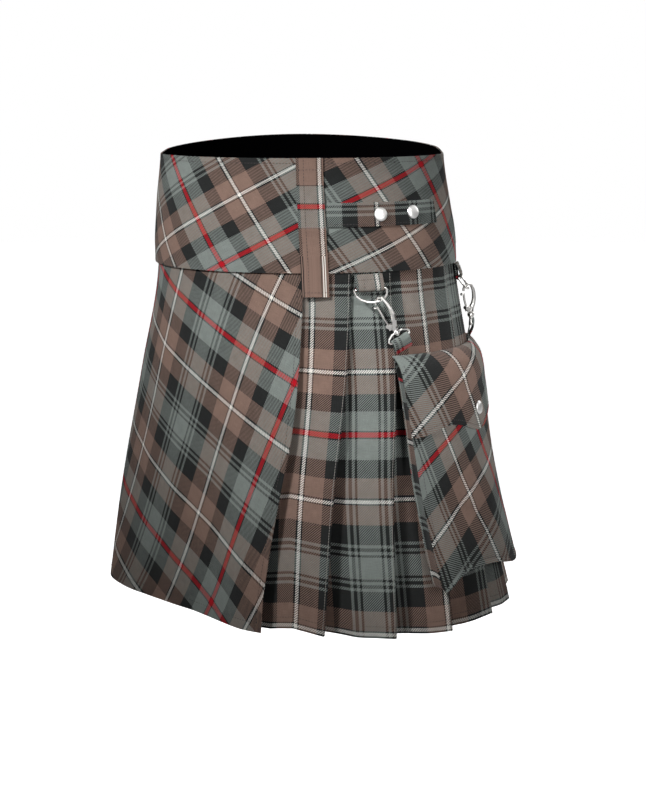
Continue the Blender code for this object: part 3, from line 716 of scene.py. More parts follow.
def plain(name, colour, rough, metal=0.0, sheen=0.0, bump=None, shine=0.5):
    m = bpy.data.materials.new(name)
    m.use_nodes = True
    t = Nodes(m.node_tree)
    b = m.node_tree.nodes["Principled BSDF"]
    b.inputs["Base Color"].default_value = (*colour, 1)
    b.inputs["Roughness"].default_value = rough
    b.inputs["Metallic"].default_value = metal
    b.inputs["Sheen Weight"].default_value = sheen
    b.inputs["Specular IOR Level"].default_value = shine
    if bump:
        scale, size, strength = bump
        noise = t.add("ShaderNodeTexNoise")
        noise.inputs["Scale"].default_value = scale
        noise.inputs["Detail"].default_value = 3.0
        co = t.add("ShaderNodeTexCoord")
        t.link(co.outputs["Object"], noise.inputs["Vector"])
        n = t.add("ShaderNodeBump")
        n.inputs["Strength"].default_value = strength
        n.inputs["Distance"].default_value = size
        t.link(noise.outputs[0], n.inputs["Height"])
        t.link(n.outputs[0], b.inputs["Normal"])
        rr = t.math("ADD", rough * 0.8, t.math("MULTIPLY", noise.outputs[0], rough * 0.5))
        t.link(rr, b.inputs["Roughness"])
    return m


GROUP = tartan_group()
STRAIGHT = tartan("tartan_cloth", -1.0, GROUP)
BIAS = tartan("tartan_bias_cloth", 1.0, GROUP)
APRON_CLOTH = tartan("tartan_apron_cloth", -1.0, GROUP)
# black lining cloth, made darker than real cloth and without shine: painted shade for the inside of the
# waist opening
LINING_PAINTED_SHADE = plain("black_lining", srgb(3, 3, 4), 0.95, bump=(900.0, 0.0003, 0.3), shine=0.0)
NICKEL = plain("nickel_plate", (0.80, 0.785, 0.76), 0.17, metal=1.0, bump=(260.0, 0.00004, 0.25))
CAP = plain("nickel_plate_cap", (0.90, 0.89, 0.87), 0.36, metal=1.0)
THREAD_DARK = plain("dark_thread", srgb(40, 34, 33), 0.75, sheen=0.1)
# pale thread: edge stitching that also paints the light line where each fold's edge catches light
PALE_THREAD_HIGHLIGHT = plain("pale_thread_painted_highlight", srgb(150, 146, 140), 0.75, sheen=0.1)


# sewing
def stitch_tree():
    """Node group: the edges of a mesh to a run of short threads."""
    tree = bpy.data.node_groups.new("stitch run", "GeometryNodeTree")
    new = tree.interface.new_socket
    new("Path", in_out="INPUT", socket_type="NodeSocketGeometry")
    for label, value in (("Pitch", 0.0029), ("Length", 0.0023), ("Radius", 0.00024)):
        new(label, in_out="INPUT", socket_type="NodeSocketFloat").default_value = value
    new("Seed", in_out="INPUT", socket_type="NodeSocketInt").default_value = 11
    new("Thread", in_out="INPUT", socket_type="NodeSocketMaterial")
    new("Stitches", in_out="OUTPUT", socket_type="NodeSocketGeometry")
    add, link = tree.nodes.new, tree.links.new
    given, out = add("NodeGroupInput"), add("NodeGroupOutput")
    curve, even = add("GeometryNodeMeshToCurve"), add("GeometryNodeResampleCurve")
    even.mode = "LENGTH"
    link(given.outputs["Path"], curve.inputs["Mesh"])
    link(curve.outputs["Curve"], even.inputs["Curve"])
    link(given.outputs["Pitch"], even.inputs["Length"])
    ball = add("GeometryNodeMeshUVSphere")
    for label, value in (("Segments", 6), ("Rings", 4), ("Radius", 1.0)):
        ball.inputs[label].default_value = value
    turn = add("FunctionNodeAlignRotationToVector")
    turn.axis = "Z"
    link(add("GeometryNodeInputTangent").outputs[0], turn.inputs["Vector"])
    half = add("ShaderNodeMath")
    half.operation = "MULTIPLY"
    half.inputs[1].default_value = 0.5
    link(given.outputs["Length"], half.inputs[0])
    size = add("ShaderNodeCombineXYZ")
    for i, source in enumerate((given.outputs["Radius"], given.outputs["Radius"], half.outputs[0])):
        link(source, size.inputs[i])
    vary = add("FunctionNodeRandomValue")
    vary.inputs[2].default_value, vary.inputs[3].default_value = 0.90, 1.08
    link(given.outputs["Seed"], vary.inputs["Seed"])
    scaled = add("ShaderNodeVectorMath")
    scaled.operation = "SCALE"
    link(size.outputs[0], scaled.inputs[0])
    link(vary.outputs[1], scaled.inputs["Scale"])
    put = add("GeometryNodeInstanceOnPoints")
    link(even.outputs["Curve"], put.inputs["Points"])
    link(ball.outputs["Mesh"], put.inputs["Instance"])
    link(turn.outputs[0], put.inputs["Rotation"])
    link(scaled.outputs[0], put.inputs["Scale"])
    last = put
    for kind in ("GeometryNodeRealizeInstances", "GeometryNodeSetShadeSmooth", "GeometryNodeSetMaterial"):
        node = add(kind)
        link(last.outputs[0], node.inputs[0])
        last = node
    link(given.outputs["Thread"], last.inputs["Material"])
    link(last.outputs[0], out.inputs[0])
    return tree


STITCH = stitch_tree()
PLAIN_SEAM = {"Thread": THREAD_DARK, "Pitch": 0.0029, "Length": 0.0023, "Radius": 0.00024}
# nearly continuous pale stitches by each fold's edge: partly real edge stitching, partly a painted
# highlight of the fold
PLEAT_EDGE_HIGHLIGHT = {"Thread": PALE_THREAD_HIGHLIGHT, "Pitch": 0.0025, "Length": 0.0024, "Radius": 0.00028}
SEAMS = {}


def beside(outer, inner, cols, back):
    """Line just over a cloth: in each row of its grid, a distance before one of the points."""
    line = []
    for row, under, c in zip(outer, inner, cols):
        run = distances(row)
        p, q = (np.array([np.interp(run[c] - back, run, g[:, i]) for i in range(3)]) for g in (row, under))
        line.append(p + (p - q) / max(np.linalg.norm(p - q), 1e-9) * 0.0001)
    return np.array(line)


def above_hem(outer, inner, deep, side=-1):
    """The same for each column, a distance in from the last row, or the first one."""
    turned = [g.transpose(1, 0, 2) for g in (outer, inner)]
    end = outer.shape[0] - 1
    return beside(*turned, [end if side < 0 else 0] * outer.shape[1], deep if side < 0 else -deep)


def sew(name, *lines):
    """Notes lines of points to be sewn under one name."""
    SEAMS.setdefault(name, []).extend(line for line in lines if len(line) > 1)


def finish_seams():
    """One mesh of real stitches for each name."""
    for name, lines in SEAMS.items():
        mesh = bpy.data.meshes.new(name)
        edges, at = [], 0
        for line in lines:
            edges += [(at + i, at + i + 1) for i in range(len(line) - 1)]
            at += len(line)
        mesh.from_pydata(np.concatenate(lines).tolist(), edges, [])
        ob = bpy.data.objects.new(name, mesh)
        bpy.context.scene.collection.objects.link(ob)
        given = dict(PLEAT_EDGE_HIGHLIGHT if name == "stitches_creases_highlight" else PLAIN_SEAM, Seed=len(lines) + 5)
        mod = ob.modifiers.new("stitches", "NODES")
        mod.node_group = STITCH
        for item in STITCH.interface.items_tree:
            if item.in_out == "INPUT" and item.name in given:
                mod[item.identifier] = given[item.name]
        made = bpy.data.meshes.new_from_object(ob.evaluated_get(bpy.context.evaluated_depsgraph_get()))
        ob.modifiers.clear()
        ob.data = made
        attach(ob, "skirt")


# yoke
# constant, per 100 mm along, per 100 mm up, measured from a middle point (mm)
YOKE_GRAIN = {
    "front_left": ((32.87, 99.66, 62.33), (56.97, -55.05, 108.54), (-75.0, -40.0)),
    "front_right": ((-62.32, 90.20, 63.12), (-18.20, -42.46, 104.13), (75.0, -40.0)),
    "back": ((20.0, 95.0, 62.0), (10.0, -50.0, 106.0), (330.0, -40.0)),
}


def grain(table, s, z):
    """Grain coordinates (mm) from the distance along and the height (m)."""
    (a, b, c), (d, e, f), (x, y) = table
    p, q = (s * 1000 - x) / 100, (z * 1000 - y) / 100
    return a + b * p + c * q, d + e * p + f * q


LINING_PLY = 0.0010
TOPSTITCH = 0.0046      # from the rim to the row of stitches


def yoke_panel(name, start, end, low, high, inner, outer, mat, table, rows=44, pitch=0.9, ring=False):
    """Panel between two angles (deg); low and high are lines of height, inner and outer its two faces."""
    n = int(round(abs(end - start) / pitch)) + 1
    th = np.radians(np.linspace(start, end, n))
    if ring:
        th = th[:-1]
    w = np.linspace(0, 1, rows)
    z = low(th)[None, :] + (high(th) - low(th))[None, :] * w[:, None]
    t = np.broadcast_to(th[None, :], z.shape)
    up, down = high(th) - z, z - low(th)
    # pressed edges: thinner towards the rim and the seam
    thin = 0.00022 * (np.exp(-up / 0.0012) + np.exp(-down / 0.0012))
    groove = 0.0 if ring else 0.00025 * np.exp(-((up - TOPSTITCH) / 0.0012)**2)
    po, pi = outer(z) - thin - groove, inner(z) + thin * 0.5
    s = along(t, z)
    gu, gv = grain(table, s, z)
    outer_grid, inner_grid = cloth_point(t, z, po), cloth_point(t, z, pi)
    ob = shell(name, outer_grid, inner_grid, gu, gv, ring)
    if ring:
        outer_grid = np.concatenate([outer_grid, outer_grid[:, :1]], 1)
    else:
        sew("stitches_rim", above_hem(outer_grid, inner_grid, TOPSTITCH))
    return finish_piece(ob, mat, name.replace("cloth_", ""), outer_grid)


def dress_yoke():
    seam = 0.07         # deg, half the gap between two panels
    at_seam = lambda th: np.full_like(th, Z_SEAM)
    for side, start, end in (("front_left", -95, 4.4), ("front_right", 4.4, 95), ("back", 95, 265)):
        yoke_panel("cloth_yoke_" + side, start + seam, end - seam, at_seam, rim, yoke_inner, yoke_outer,
                   BIAS, YOKE_GRAIN[side])
    above_tuck = lambda th: np.full_like(th, Z_TUCK + 0.0006)
    under_rim = lambda th: rim(th) - 0.0003
    # the lining's near-total black is painted shade inside the opening
    yoke_panel("cloth_yoke_lining", -180, 180, above_tuck, under_rim, lambda z: 0.0 * z,
               lambda z: 0.0 * z + LINING_PLY, LINING_PAINTED_SHADE, YOKE_GRAIN["back"],
               rows=30, pitch=1.5, ring=True)


# pleats
# grain coordinate (mm) at each fold's edge: at the seam, at the hem
FOLD_GRAIN = (
    (91.4, 83.4), (144.8, 132.3), (175.2, 175.2), (327.5, 338.6), (379.6, 375.6), (414.0, 412.0),
    (462.0, 456.0), (545.0, 541.0), (590.0, 584.0), (636.0, 634.0), (690.0, 684.0), (772.0, 768.0),
    (820.0, 814.0), (866.0, 864.0), (915.0, 910.0), (1000.0, 996.0),
)
# height (m), grain coordinate (mm) across the pleats
PLEAT_RISE = (
    (-0.420, -175.3), (-0.417, -172.2), (-0.359, -114.8), (-0.3005, -57.4),
    (-0.2414, 0.0), (-0.1863, 57.4), (-0.129, 114.8), (-0.091, 152.9),
)
# name, first fold, last fold
PLEAT_LENGTHS = (
    ("pleats_front", 0, 2), ("pleats_right", 3, 6), ("pleats_back", 7, 11), ("pleats_left", 12, LAST_FOLD),
)


def chaikin(line, times=2):
    """Rounds a polyline's corners; keeps its ends."""
    line = np.asarray(line, float)
    for _ in range(times):
        a, b = line[:-1], line[1:]
        q = np.empty((2 * len(a), line.shape[1]))
        q[0::2], q[1::2] = 0.75 * a + 0.25 * b, 0.25 * a + 0.75 * b
        line = np.concatenate([line[:1], q[1:-1], line[-1:]])
    return line


def hem_thick(v):
    """The turned-up hem is a little thicker than the cloth."""
    return 0.00022 * smooth(0.955, 0.967, np.asarray(v, float))


def rise_grain(v):
    a = np.array(PLEAT_RISE)
    z = Z_TUCK + (PLEAT_RISE[0][0] - Z_TUCK) * v
    return np.interp(z, a[:, 0], a[:, 1])


def grid_of(lines):
    """Rows of polylines (distance, outwards) laid on the body, both sides, with the distance kept."""
    outer, inner = [], []
    for v, th, s, line, half in lines:
        for side, keep in zip(offsets(line, half), (outer, inner)):
            a = np.interp(side[:, 0], s, th)
            z = Z_TUCK + (hem(a) - Z_TUCK) * v
            keep.append(cloth_point(a, z, side[:, 1]))
    return np.array(outer), np.array(inner)


def in_sight(row, first, v):
    """Which points of a folded line no other fold covers."""
    _, th, s, line, _ = row
    x, r = line[:, 0], line[:, 1]
    edge = float(np.interp(fold_angle(first - 1, v) if first else apron_edge(v), th, s)) + 0.001
    low, high = np.minimum(x[:-1], x[1:]), np.maximum(x[:-1], x[1:])
    lift = np.minimum(r[:-1], r[1:])
    covered = [np.any((low < a) & (high > a) & (lift > b + 0.0005)) for a, b in zip(x, r)]
    return [a > edge and not over for a, over in zip(x, covered)]


def stretches(line, seen):
    """Cuts a line into the stretches that are seen."""
    ends = np.flatnonzero(np.diff(np.concatenate([[0], np.asarray(seen, int), [0]])))
    return [line[a:b] for a, b in zip(ends[::2], ends[1::2])]


def dress_pleats(rows=64):
    vs = np.linspace(0, 1, rows)
    for name, first, last in PLEAT_LENGTHS:
        lines, left, right, tops = [], [], [], []
        for v in vs:
            th, s = arc(row_height(v))
            line = chaikin(pleat_line(v, first, last, th, s), 2)
            grain_at = np.array([a + (b - a) * v for a, b in FOLD_GRAIN[first:last + 1]])
            run = distances(line) * 1000
            # each fold's tip, and the hidden crease between it and the next
            tips = []
            for k in range(first, last + 1):
                near = np.abs(line[:, 0] - float(np.interp(fold_angle(k, v), th, s))) < 0.004
                tips.append(int(np.argmax(np.where(near, line[:, 1] + line[:, 0] * 0.2, -1))))
            which = np.zeros(len(line) - 1, int)
            for a, b in zip(tips[:-1], tips[1:]):
                which[a + int(np.argmin(line[a:b, 0])):] += 1
            # the grain runs on from each fold's edge and starts afresh at the hidden creases
            from_tip = run[np.array(tips)[which]]
            left.append(grain_at[which] + (run[:-1] - from_tip))
            right.append(grain_at[which] + (run[1:] - from_tip))
            lines.append((v, th, s, line, PLY / 2 + hem_thick(v) * 0.5))
            tops.append(tips)
        outer, inner = grid_of(lines)
        # pale stitches by each fold's edge, also a painted highlight where the fold catches light
        sew("stitches_creases_highlight", *(beside(outer, inner, tip, 0.0011)[2:] for tip in zip(*tops)))
        hem_line = above_hem(outer, inner, 0.0105)
        sew("stitches_hem", *stretches(hem_line, in_sight(lines[-2], first, vs[-2])))
        gv = np.repeat(rise_grain(vs)[:, None], outer.shape[1], 1)
        ob = shell("cloth_" + name, outer, inner, np.array(left), gv, u_right=np.array(right))
        finish_piece(ob, STRAIGHT, name, outer)


# aprons
# powers of (along, up) per 100 mm from (-80, -240): grain along, grain up
APRON_GRAIN = (
    (0, 0, -83.80, 64.87), (1, 0, 61.73, -119.23), (0, 1, 94.04, 39.83),
    (2, 0, 0.67, -0.03), (1, 1, -2.72, 1.36), (0, 2, 3.10, -2.07),
    (3, 0, -2.98, 2.45), (2, 1, -2.40, 2.41), (1, 2, -0.32, 2.18), (0, 3, -1.77, 2.58),
)
# the apron's last columns, as distances from its free edge
EDGE_STATIONS = (0.010, 0.008, 0.006, 0.004, 0.0025, 0.0012, 0.0004, 0.0)


def apron_grain(s, z):
    """Grain coordinates (mm); past the measured part the grain runs on straight."""
    p = np.clip((s * 1000 + 80) / 100, -1.75, 1.3)
    q = (z * 1000 + 240) / 100
    gu = sum(a * p**i * q**j for i, j, a, _ in APRON_GRAIN)
    gv = sum(b * p**i * q**j for i, j, _, b in APRON_GRAIN)
    beyond = (s * 1000 + 80) / 100 - p
    return gu + 61.7 * beyond, gv - 119.2 * beyond


def dress_aprons(rows=110):
    over, under = [], []
    vs = np.linspace(0, 1, rows)
    dist, dist_under, start = [], [], []
    for v in vs:
        level = levels(v)
        th, s = arc(row_height(v))
        back = float(np.interp(fold_angle(LAST_FOLD, v) - 2 * math.pi, th, s))
        d = underlay(v)
        edge = float(np.interp(apron_edge(v), th, s))
        high = fold_height(LAST_FOLD, v) - STEP
        mid = (high + level[1]) / 2
        span = edge - back
        low = PLY / 2 + STEP + 0.0002
        line = [(back - 0.5 * d - GAP, mid), *tucked_back(back, d, level),
                (back + 0.006, level[0] + 0.3 * (low - level[0])), (back + 0.012, low - 0.0001)]
        stop = edge - APRON_LAP - GAP
        stations = np.linspace(back + 0.0145, stop, 84)
        # towards its free edge the apron climbs onto the first pleat
        for x in np.concatenate([stations, edge - np.array(EDGE_STATIONS)]):
            f = max(0.0, (x - back) / span - 0.45) / 0.55
            line.append((x, low + (apron_rise(v) - low) * f**1.8))
        line = np.array(line)
        over.append((v, th, s, line, PLY / 2 + 0.0001 + hem_thick(v) * 0.3))
        dist.append(line[:, 0])
        start.append(line[:, 0] > back + 0.001)
        below = np.linspace(stations[0], stop, 42)
        sink = smooth(0.75, 1.0, (below - below[0]) / (stop - below[0]))
        flat = np.stack([below, PLY / 2 + (level[0] - PLY / 2) * sink], -1)
        under.append((v, th, s, flat, PLY / 2))
        dist_under.append(flat[:, 0])
    outer, inner = grid_of(over)
    # the turned edge is rounded: the last columns are thinner
    n = outer.shape[1]
    pinch = np.zeros(n)
    pinch[-4:] = (0.04, 0.12, 0.30, 0.55)
    mid = (outer + inner) / 2
    outer = outer + (mid - outer) * pinch[None, :, None]
    inner = inner + (mid - inner) * pinch[None, :, None]
    gu, gv = apron_grain(np.array(dist), outer[:, :, 2])
    ob = shell("cloth_apron", outer, inner, gu, gv)
    finish_piece(ob, APRON_CLOTH, "apron", outer)
    seen = start[-3]
    seen[-len(EDGE_STATIONS):] = False
    sew("stitches_apron", beside(outer, inner, [n - 1] * rows, 0.0050)[3:-3],
        *stretches(above_hem(outer, inner, 0.0090), seen))
    outer, inner = grid_of(under)
    gu = np.array(dist_under) * 1000 + 30
    gv = np.repeat(rise_grain(vs)[:, None], outer.shape[1], 1)
    ob = shell("cloth_under_apron", outer, inner, gu, gv)
    finish_piece(ob, STRAIGHT, "under_apron", outer)


# strap and loop
STRAP_SCALE = 1.12      # grain for each millimetre of cloth
STRAP_SEAM = 0.0024     # from an edge of the strap to its row of stitches


def dress_strap():
    high = STRAP_Z[1] - STRAP_Z[0]
    th = np.radians(np.linspace(1.5, 65.5, 120))
    w = np.linspace(0, 1, 15)[:, None]
    z = np.broadcast_to(STRAP_Z[0] + high * w, (15, 120))
    t = np.broadcast_to(th[None, :], z.shape)
    base = yoke_outer(z) + GAP
    edge = np.minimum(w, 1 - w) * high
    pad = 0.00035 * (1 - np.exp(-edge / 0.0012)) - 0.00028 * np.exp(-((edge - STRAP_SEAM) / 0.0006)**2)
    pad = pad * np.ones_like(z)
    white = float(along(math.radians(35.4), -0.047))
    gu = 57.4 + (along(t, z) - white) * 1000 * STRAP_SCALE
    gv = 84.0 + (z - STRAP_Z[0]) * 1000 * STRAP_SCALE
    outer, inner = cloth_point(t, z, base + STRAP - 0.0002 + pad), cloth_point(t, z, base + 0 * z)
    ob = shell("cloth_waist_strap", outer, inner, gu, gv)
    finish_piece(ob, STRAIGHT, "waist_strap", outer)
    sew("stitches_strap", above_hem(outer, inner, STRAP_SEAM), above_hem(outer, inner, STRAP_SEAM, 1))


def dress_belt_loop(rows=110, cols=21):
    stations = LOOP_PROFILE + ((LOOP_TOP, 0.0004),)
    zs = np.array([z for z, _ in stations])
    # above the waist line the loop keeps the offset it has there
    offs = np.array([float(yoke_outer(np.array(min(z, 0.0)))) + clear for z, clear in stations])
    heights = np.linspace(zs[0], zs[-1], rows)
    face = np.interp(heights, zs, offs)
    for _ in range(3):
        face[1:-1] = np.maximum(face[1:-1], (face[:-2] + face[2:]) / 2)
    x = np.linspace(-1, 1, cols)
    lip = 0.0003 * (1 - np.exp(-(1 - np.abs(x)) * LOOP_HALF / 0.0012))
    outer, inner, gu, gv = [], [], [], []
    for z, off in zip(heights, face):
        th, s = arc(z)
        mid = float(np.interp(math.radians(4.5), th, s))
        a = np.interp(mid + x * LOOP_HALF * 0.965, s, th)
        outer.append(cloth_point(a, z, off + 0.0009 + lip))
        inner.append(cloth_point(a, z, off))
        gu.append(57.4 + x * LOOP_HALF * 1000 * 1.1 - 9.4)
        # the red line crosses once, with the slate beside it, and the rest is cut from the brown
        rise = (z + 0.0396) * 1157.0
        if abs(rise) > 21.1:
            rise = max(39.0, 53 - abs(abs(rise) + 16 - 53))
        gv.append(np.full(cols, rise))
    outer, inner = np.array(outer), np.array(inner)
    ob = shell("cloth_belt_loop", outer, inner, np.array(gu), np.array(gv))
    finish_piece(ob, STRAIGHT, "belt_loop", outer)
    sew("stitches_strap", beside(outer, inner, [0] * rows, -0.0068)[2:-2],
        above_hem(outer, inner, 0.0105), above_hem(outer, inner, 0.0040, 1))


# hangers
def ribbon(name, line, half, width, frame, gu, gv, node):
    """A folded band of cloth in a frame: side view line (outwards, up)."""
    line = chaikin(line, 2)
    a, b = offsets(line, half)
    xs = np.linspace(-width / 2, width / 2, 13)
    m = np.array(frame)
    run = distances(line) * 1000
    grids = []
    lip = 1 - 0.35 * np.exp(-(width / 2 - np.abs(xs)) / 0.0008)
    mid = (a + b) / 2
    for side in (a, b):
        g = np.zeros((13, len(line), 4))
        for j, x in enumerate(xs):
            p = mid + (side - mid) * lip[j]
            g[j, :, 0], g[j, :, 1], g[j, :, 2], g[j, :, 3] = x, -p[:, 0], p[:, 1], 1
        grids.append((g @ m.T)[..., :3])
    u = np.repeat((gu + xs * 1000 * 1.1)[:, None], len(line), 1)
    v = np.repeat((gv + run)[None, :], 13, 0)
    ob = shell(name, grids[0], grids[1], u, v)
    outer, inner = grids[1], grids[0]
    front = len(line) - 1 - int(np.argmin(np.abs(np.abs(line[::-1, 1]) - 0.0092)[:len(line) // 2]))
    stay = beside(outer.transpose(1, 0, 2), inner.transpose(1, 0, 2), [0] * len(line), -0.29 * width)
    sew("stitches_strap", stay[len(line) * 3 // 5:-1], beside(outer, inner, [front] * 13, 0.0))
    return finish_piece(ob, STRAIGHT, node, outer)


def dress_hangers():
    for tag, deg, lean, across, share, length in HANGERS:
        r = RING + 0.0005 + PLY / 2
        frame_at = place(math.radians(deg), RING_BAR, 0.0048 + r + PLY / 2, spin=-lean)
        side_view = hung_strip(0.0134, r, lean=-(r - 0.0006))
        ribbon("cloth_ring_tab_" + tag, side_view, PLY / 2, 0.0265, frame_at, 49.5, -14.0,
               "ring_tab_" + tag)
        # the clip's loop stands over the pocket's back seam, its hook over the ring's lower arc
        hang = frame_at @ Matrix.Rotation(math.radians(RING_HANG), 4, "X")
        r = EYE + 0.0005 + PLY / 2
        off = float(pocket_back(POCKET_TOP)) + 0.0040 + r
        base = place(float(pocket_angle(share, POCKET_TOP)), POCKET_TOP + 0.0175, off).translation
        turn = math.acos(across / (RING_WIDTH / 2 - RING))
        drop = 0.0015 + (RING_DROP - 2 * RING - 0.0015) * math.sin(turn)**0.9
        touch = hang @ Vector((across, 0, -drop))
        out = (frame_at.to_3x3() @ Vector((0, -1, 0))).normalized()
        top = touch + (touch - base).normalized() * (RING + 0.0014 + 0.0007)
        side_view = [(o, -z) for o, z in hung_strip(length, r, lean=-(r + 0.0020))]
        fixed = clip_frame(base, top, out)
        ribbon("cloth_pocket_tab_" + tag, side_view, PLY / 2, 0.0176, fixed, 106.0, -30.0,
               "pocket_tab_" + tag)


# pocket
# middle point (mm), then powers of (along, up) per 100 mm from there: grain along, grain up
POCKET_GRAIN = {
    "body": ((200, -300), (
        (0, 0, -3.7, -73.66), (1, 0, 99.98, -30.53), (0, 1, 64.29, 84.90),
        (2, 0, -22.17, 25.26), (1, 1, 14.49, 5.90), (0, 2, 11.10, 6.69),
    )),
    "flap": ((190, -215), (
        (0, 0, 25.6, 26.18), (1, 0, -99.65, -34.68), (0, 1, -53.51, 79.37),
        (2, 0, 0.0, 18.87), (1, 1, 0.0, 6.31), (0, 2, 0.0, 2.01),
    )),
}
# heights of the rows round the lower corners, and where the even rows above them start
POCKET_FOOT = [POCKET_LOW + 0.010 * f for f in (0.0, 0.05, 0.12, 0.22, 0.35, 0.5, 0.7, 1.0)]
POCKET_EVEN = -0.371
POCKET_MIDDLE = -0.28


def pocket_grain(part, s, z):
    (x, y), table = POCKET_GRAIN[part]
    whole = (s * 1000 - x) / 100
    # past the measured part the grain runs on straight
    p, q = np.clip(whole, -1.3, 0.28), (z * 1000 - y) / 100
    beyond = whole - p
    gu = sum(a * p**i * q**j for i, j, a, _ in table) + table[1][2] * 0.96 * beyond
    gv = sum(b * p**i * q**j for i, j, _, b in table) - 54 * beyond
    return gu, gv


def pocket_point(u, z, off):
    return cloth_point(float(pocket_angle(u, z)), z + float(pocket_lift(u, z)), off)


def pocket_rows(zs, cols, off):
    us = np.linspace(-1, 1, cols)
    pts, dist, high = [], [], []
    for z in zs:
        u = us * pocket_edge(z)
        th = pocket_angle(u, z)
        h = z + pocket_lift(u, z)
        pts.append(cloth_point(th, h, off(u, z)))
        dist.append(along(th, h))
        high.append(h)
    return np.array(pts), np.array(dist), np.array(high)


def pocket_front(u, z):
    """Front of the pocket: fuller below, with a welt at its edge and soft sags."""
    u = np.asarray(u)
    base = pocket_back(z) + pocket_depth(u, z)
    edge = np.minimum((1 - np.abs(u)) * POCKET_HALF, z - POCKET_LOW + 0.0005)
    welt = 0.0004 * np.exp(-(edge / 0.0030)**2) - 0.0005 * np.exp(-((edge - 0.0052) / 0.0015)**2)
    free = smooth(-0.250, -0.275, z)
    sag = 0.0012 * np.exp(-((z + 0.352 - 0.010 * u) / 0.012)**2) * (0.5 - 0.5 * u)
    sag = sag - 0.0014 * np.exp(-((z + 0.330 + 0.014 * u) / 0.011)**2) * np.exp(-((u + 0.35) / 0.5)**2)
    sag = sag + 0.0016 * np.exp(-((u - 0.05 - 1.6 * (z + 0.31)) / 0.16)**2) * smooth(-0.270, -0.310, z)
    sag = sag - 0.0012 * np.exp(-((u + 0.52 - 1.0 * (z + 0.31)) / 0.13)**2) * smooth(-0.262, -0.300, z)
    return base + welt * free + (sag + 0.0010 * (1 - u * u) * smooth(-0.262, -0.32, z)) * free


def dress_pocket_back():
    zs = np.array(POCKET_FOOT + list(np.linspace(POCKET_EVEN, POCKET_TOP, 46)))
    outer, s, h = pocket_rows(zs, 61, lambda u, z: pocket_back(z) + PLY + 0 * u)
    inner = pocket_rows(zs, 61, lambda u, z: pocket_back(z) + 0 * u)[0]
    ob = shell("cloth_pocket_back", outer, inner, *pocket_grain("body", s, h))
    finish_piece(ob, BIAS, "pocket_back", outer)


def dress_pocket_front():
    zs = np.array(POCKET_FOOT + list(np.linspace(POCKET_EVEN, POCKET_MOUTH, 52)))
    outer, s, h = pocket_rows(zs, 61, pocket_front)
    inner = pocket_rows(zs, 61, lambda u, z: pocket_front(u, z) - PLY)[0]
    ob = shell("cloth_pocket_front", outer, inner, *pocket_grain("body", s, h))
    finish_piece(ob, BIAS, "pocket_front", outer)


def dress_pocket_gusset():
    """The band that joins back and front round the sides and the foot."""
    side = [(-1.0, z) for z in np.linspace(POCKET_MOUTH, POCKET_EVEN, 24)]
    corner = [(-pocket_edge(z), z) for z in POCKET_FOOT[::-1]]
    foot = [(u, POCKET_LOW) for u in np.linspace(-0.85, 0.85, 33)]
    left = side + corner
    path = np.array(left + foot + [(-u, z) for u, z in left[::-1]])
    unit = [POCKET_HALF * 1.1, 1.0]
    both = offsets(path * unit, PLY)
    reach = [np.linalg.norm(line - np.array([0.0, POCKET_MIDDLE]), axis=1).mean() for line in both]
    inwards = 1 if reach[0] > reach[1] else 0
    closer = both[inwards] / unit
    closer[0, 1] = closer[-1, 1] = POCKET_MOUTH
    thread = []
    for u, z in offsets(path * unit, 0.0052)[inwards] / unit:
        if z < -0.250:
            thread.append(pocket_point(u, z, float(pocket_front(u, z)) + 0.0001))
    sew("stitches_pocket", np.array(thread))
    rings = []
    fs = np.linspace(0.0, 1.0, 7)
    for line in (path, closer):
        grid = []
        for f in fs:
            row = []
            pinch = 0.0009 * math.sin(math.pi * f)
            for u, z in line:
                low = pocket_back(z) + 0.0013
                high = float(pocket_back(z) + pocket_depth(u, z)) - 0.0013
                p = pocket_point(u, z, low + (high - low) * f)
                q = cloth_point(float(pocket_angle(0.0, z)), POCKET_MIDDLE, (low + high) / 2)
                row.append(p + (q - p) / np.linalg.norm(q - p) * pinch)
            grid.append(row)
        rings.append(np.array(grid))
    gu = np.repeat((fs * 10 + 40)[:, None], len(path), 1) - 20
    gv = np.repeat((distances(path * unit) * 1000)[None, :], 7, 0)
    ob = shell("cloth_pocket_gusset", rings[0], rings[1], gu, gv)
    finish_piece(ob, STRAIGHT, "pocket_gusset", rings[0])


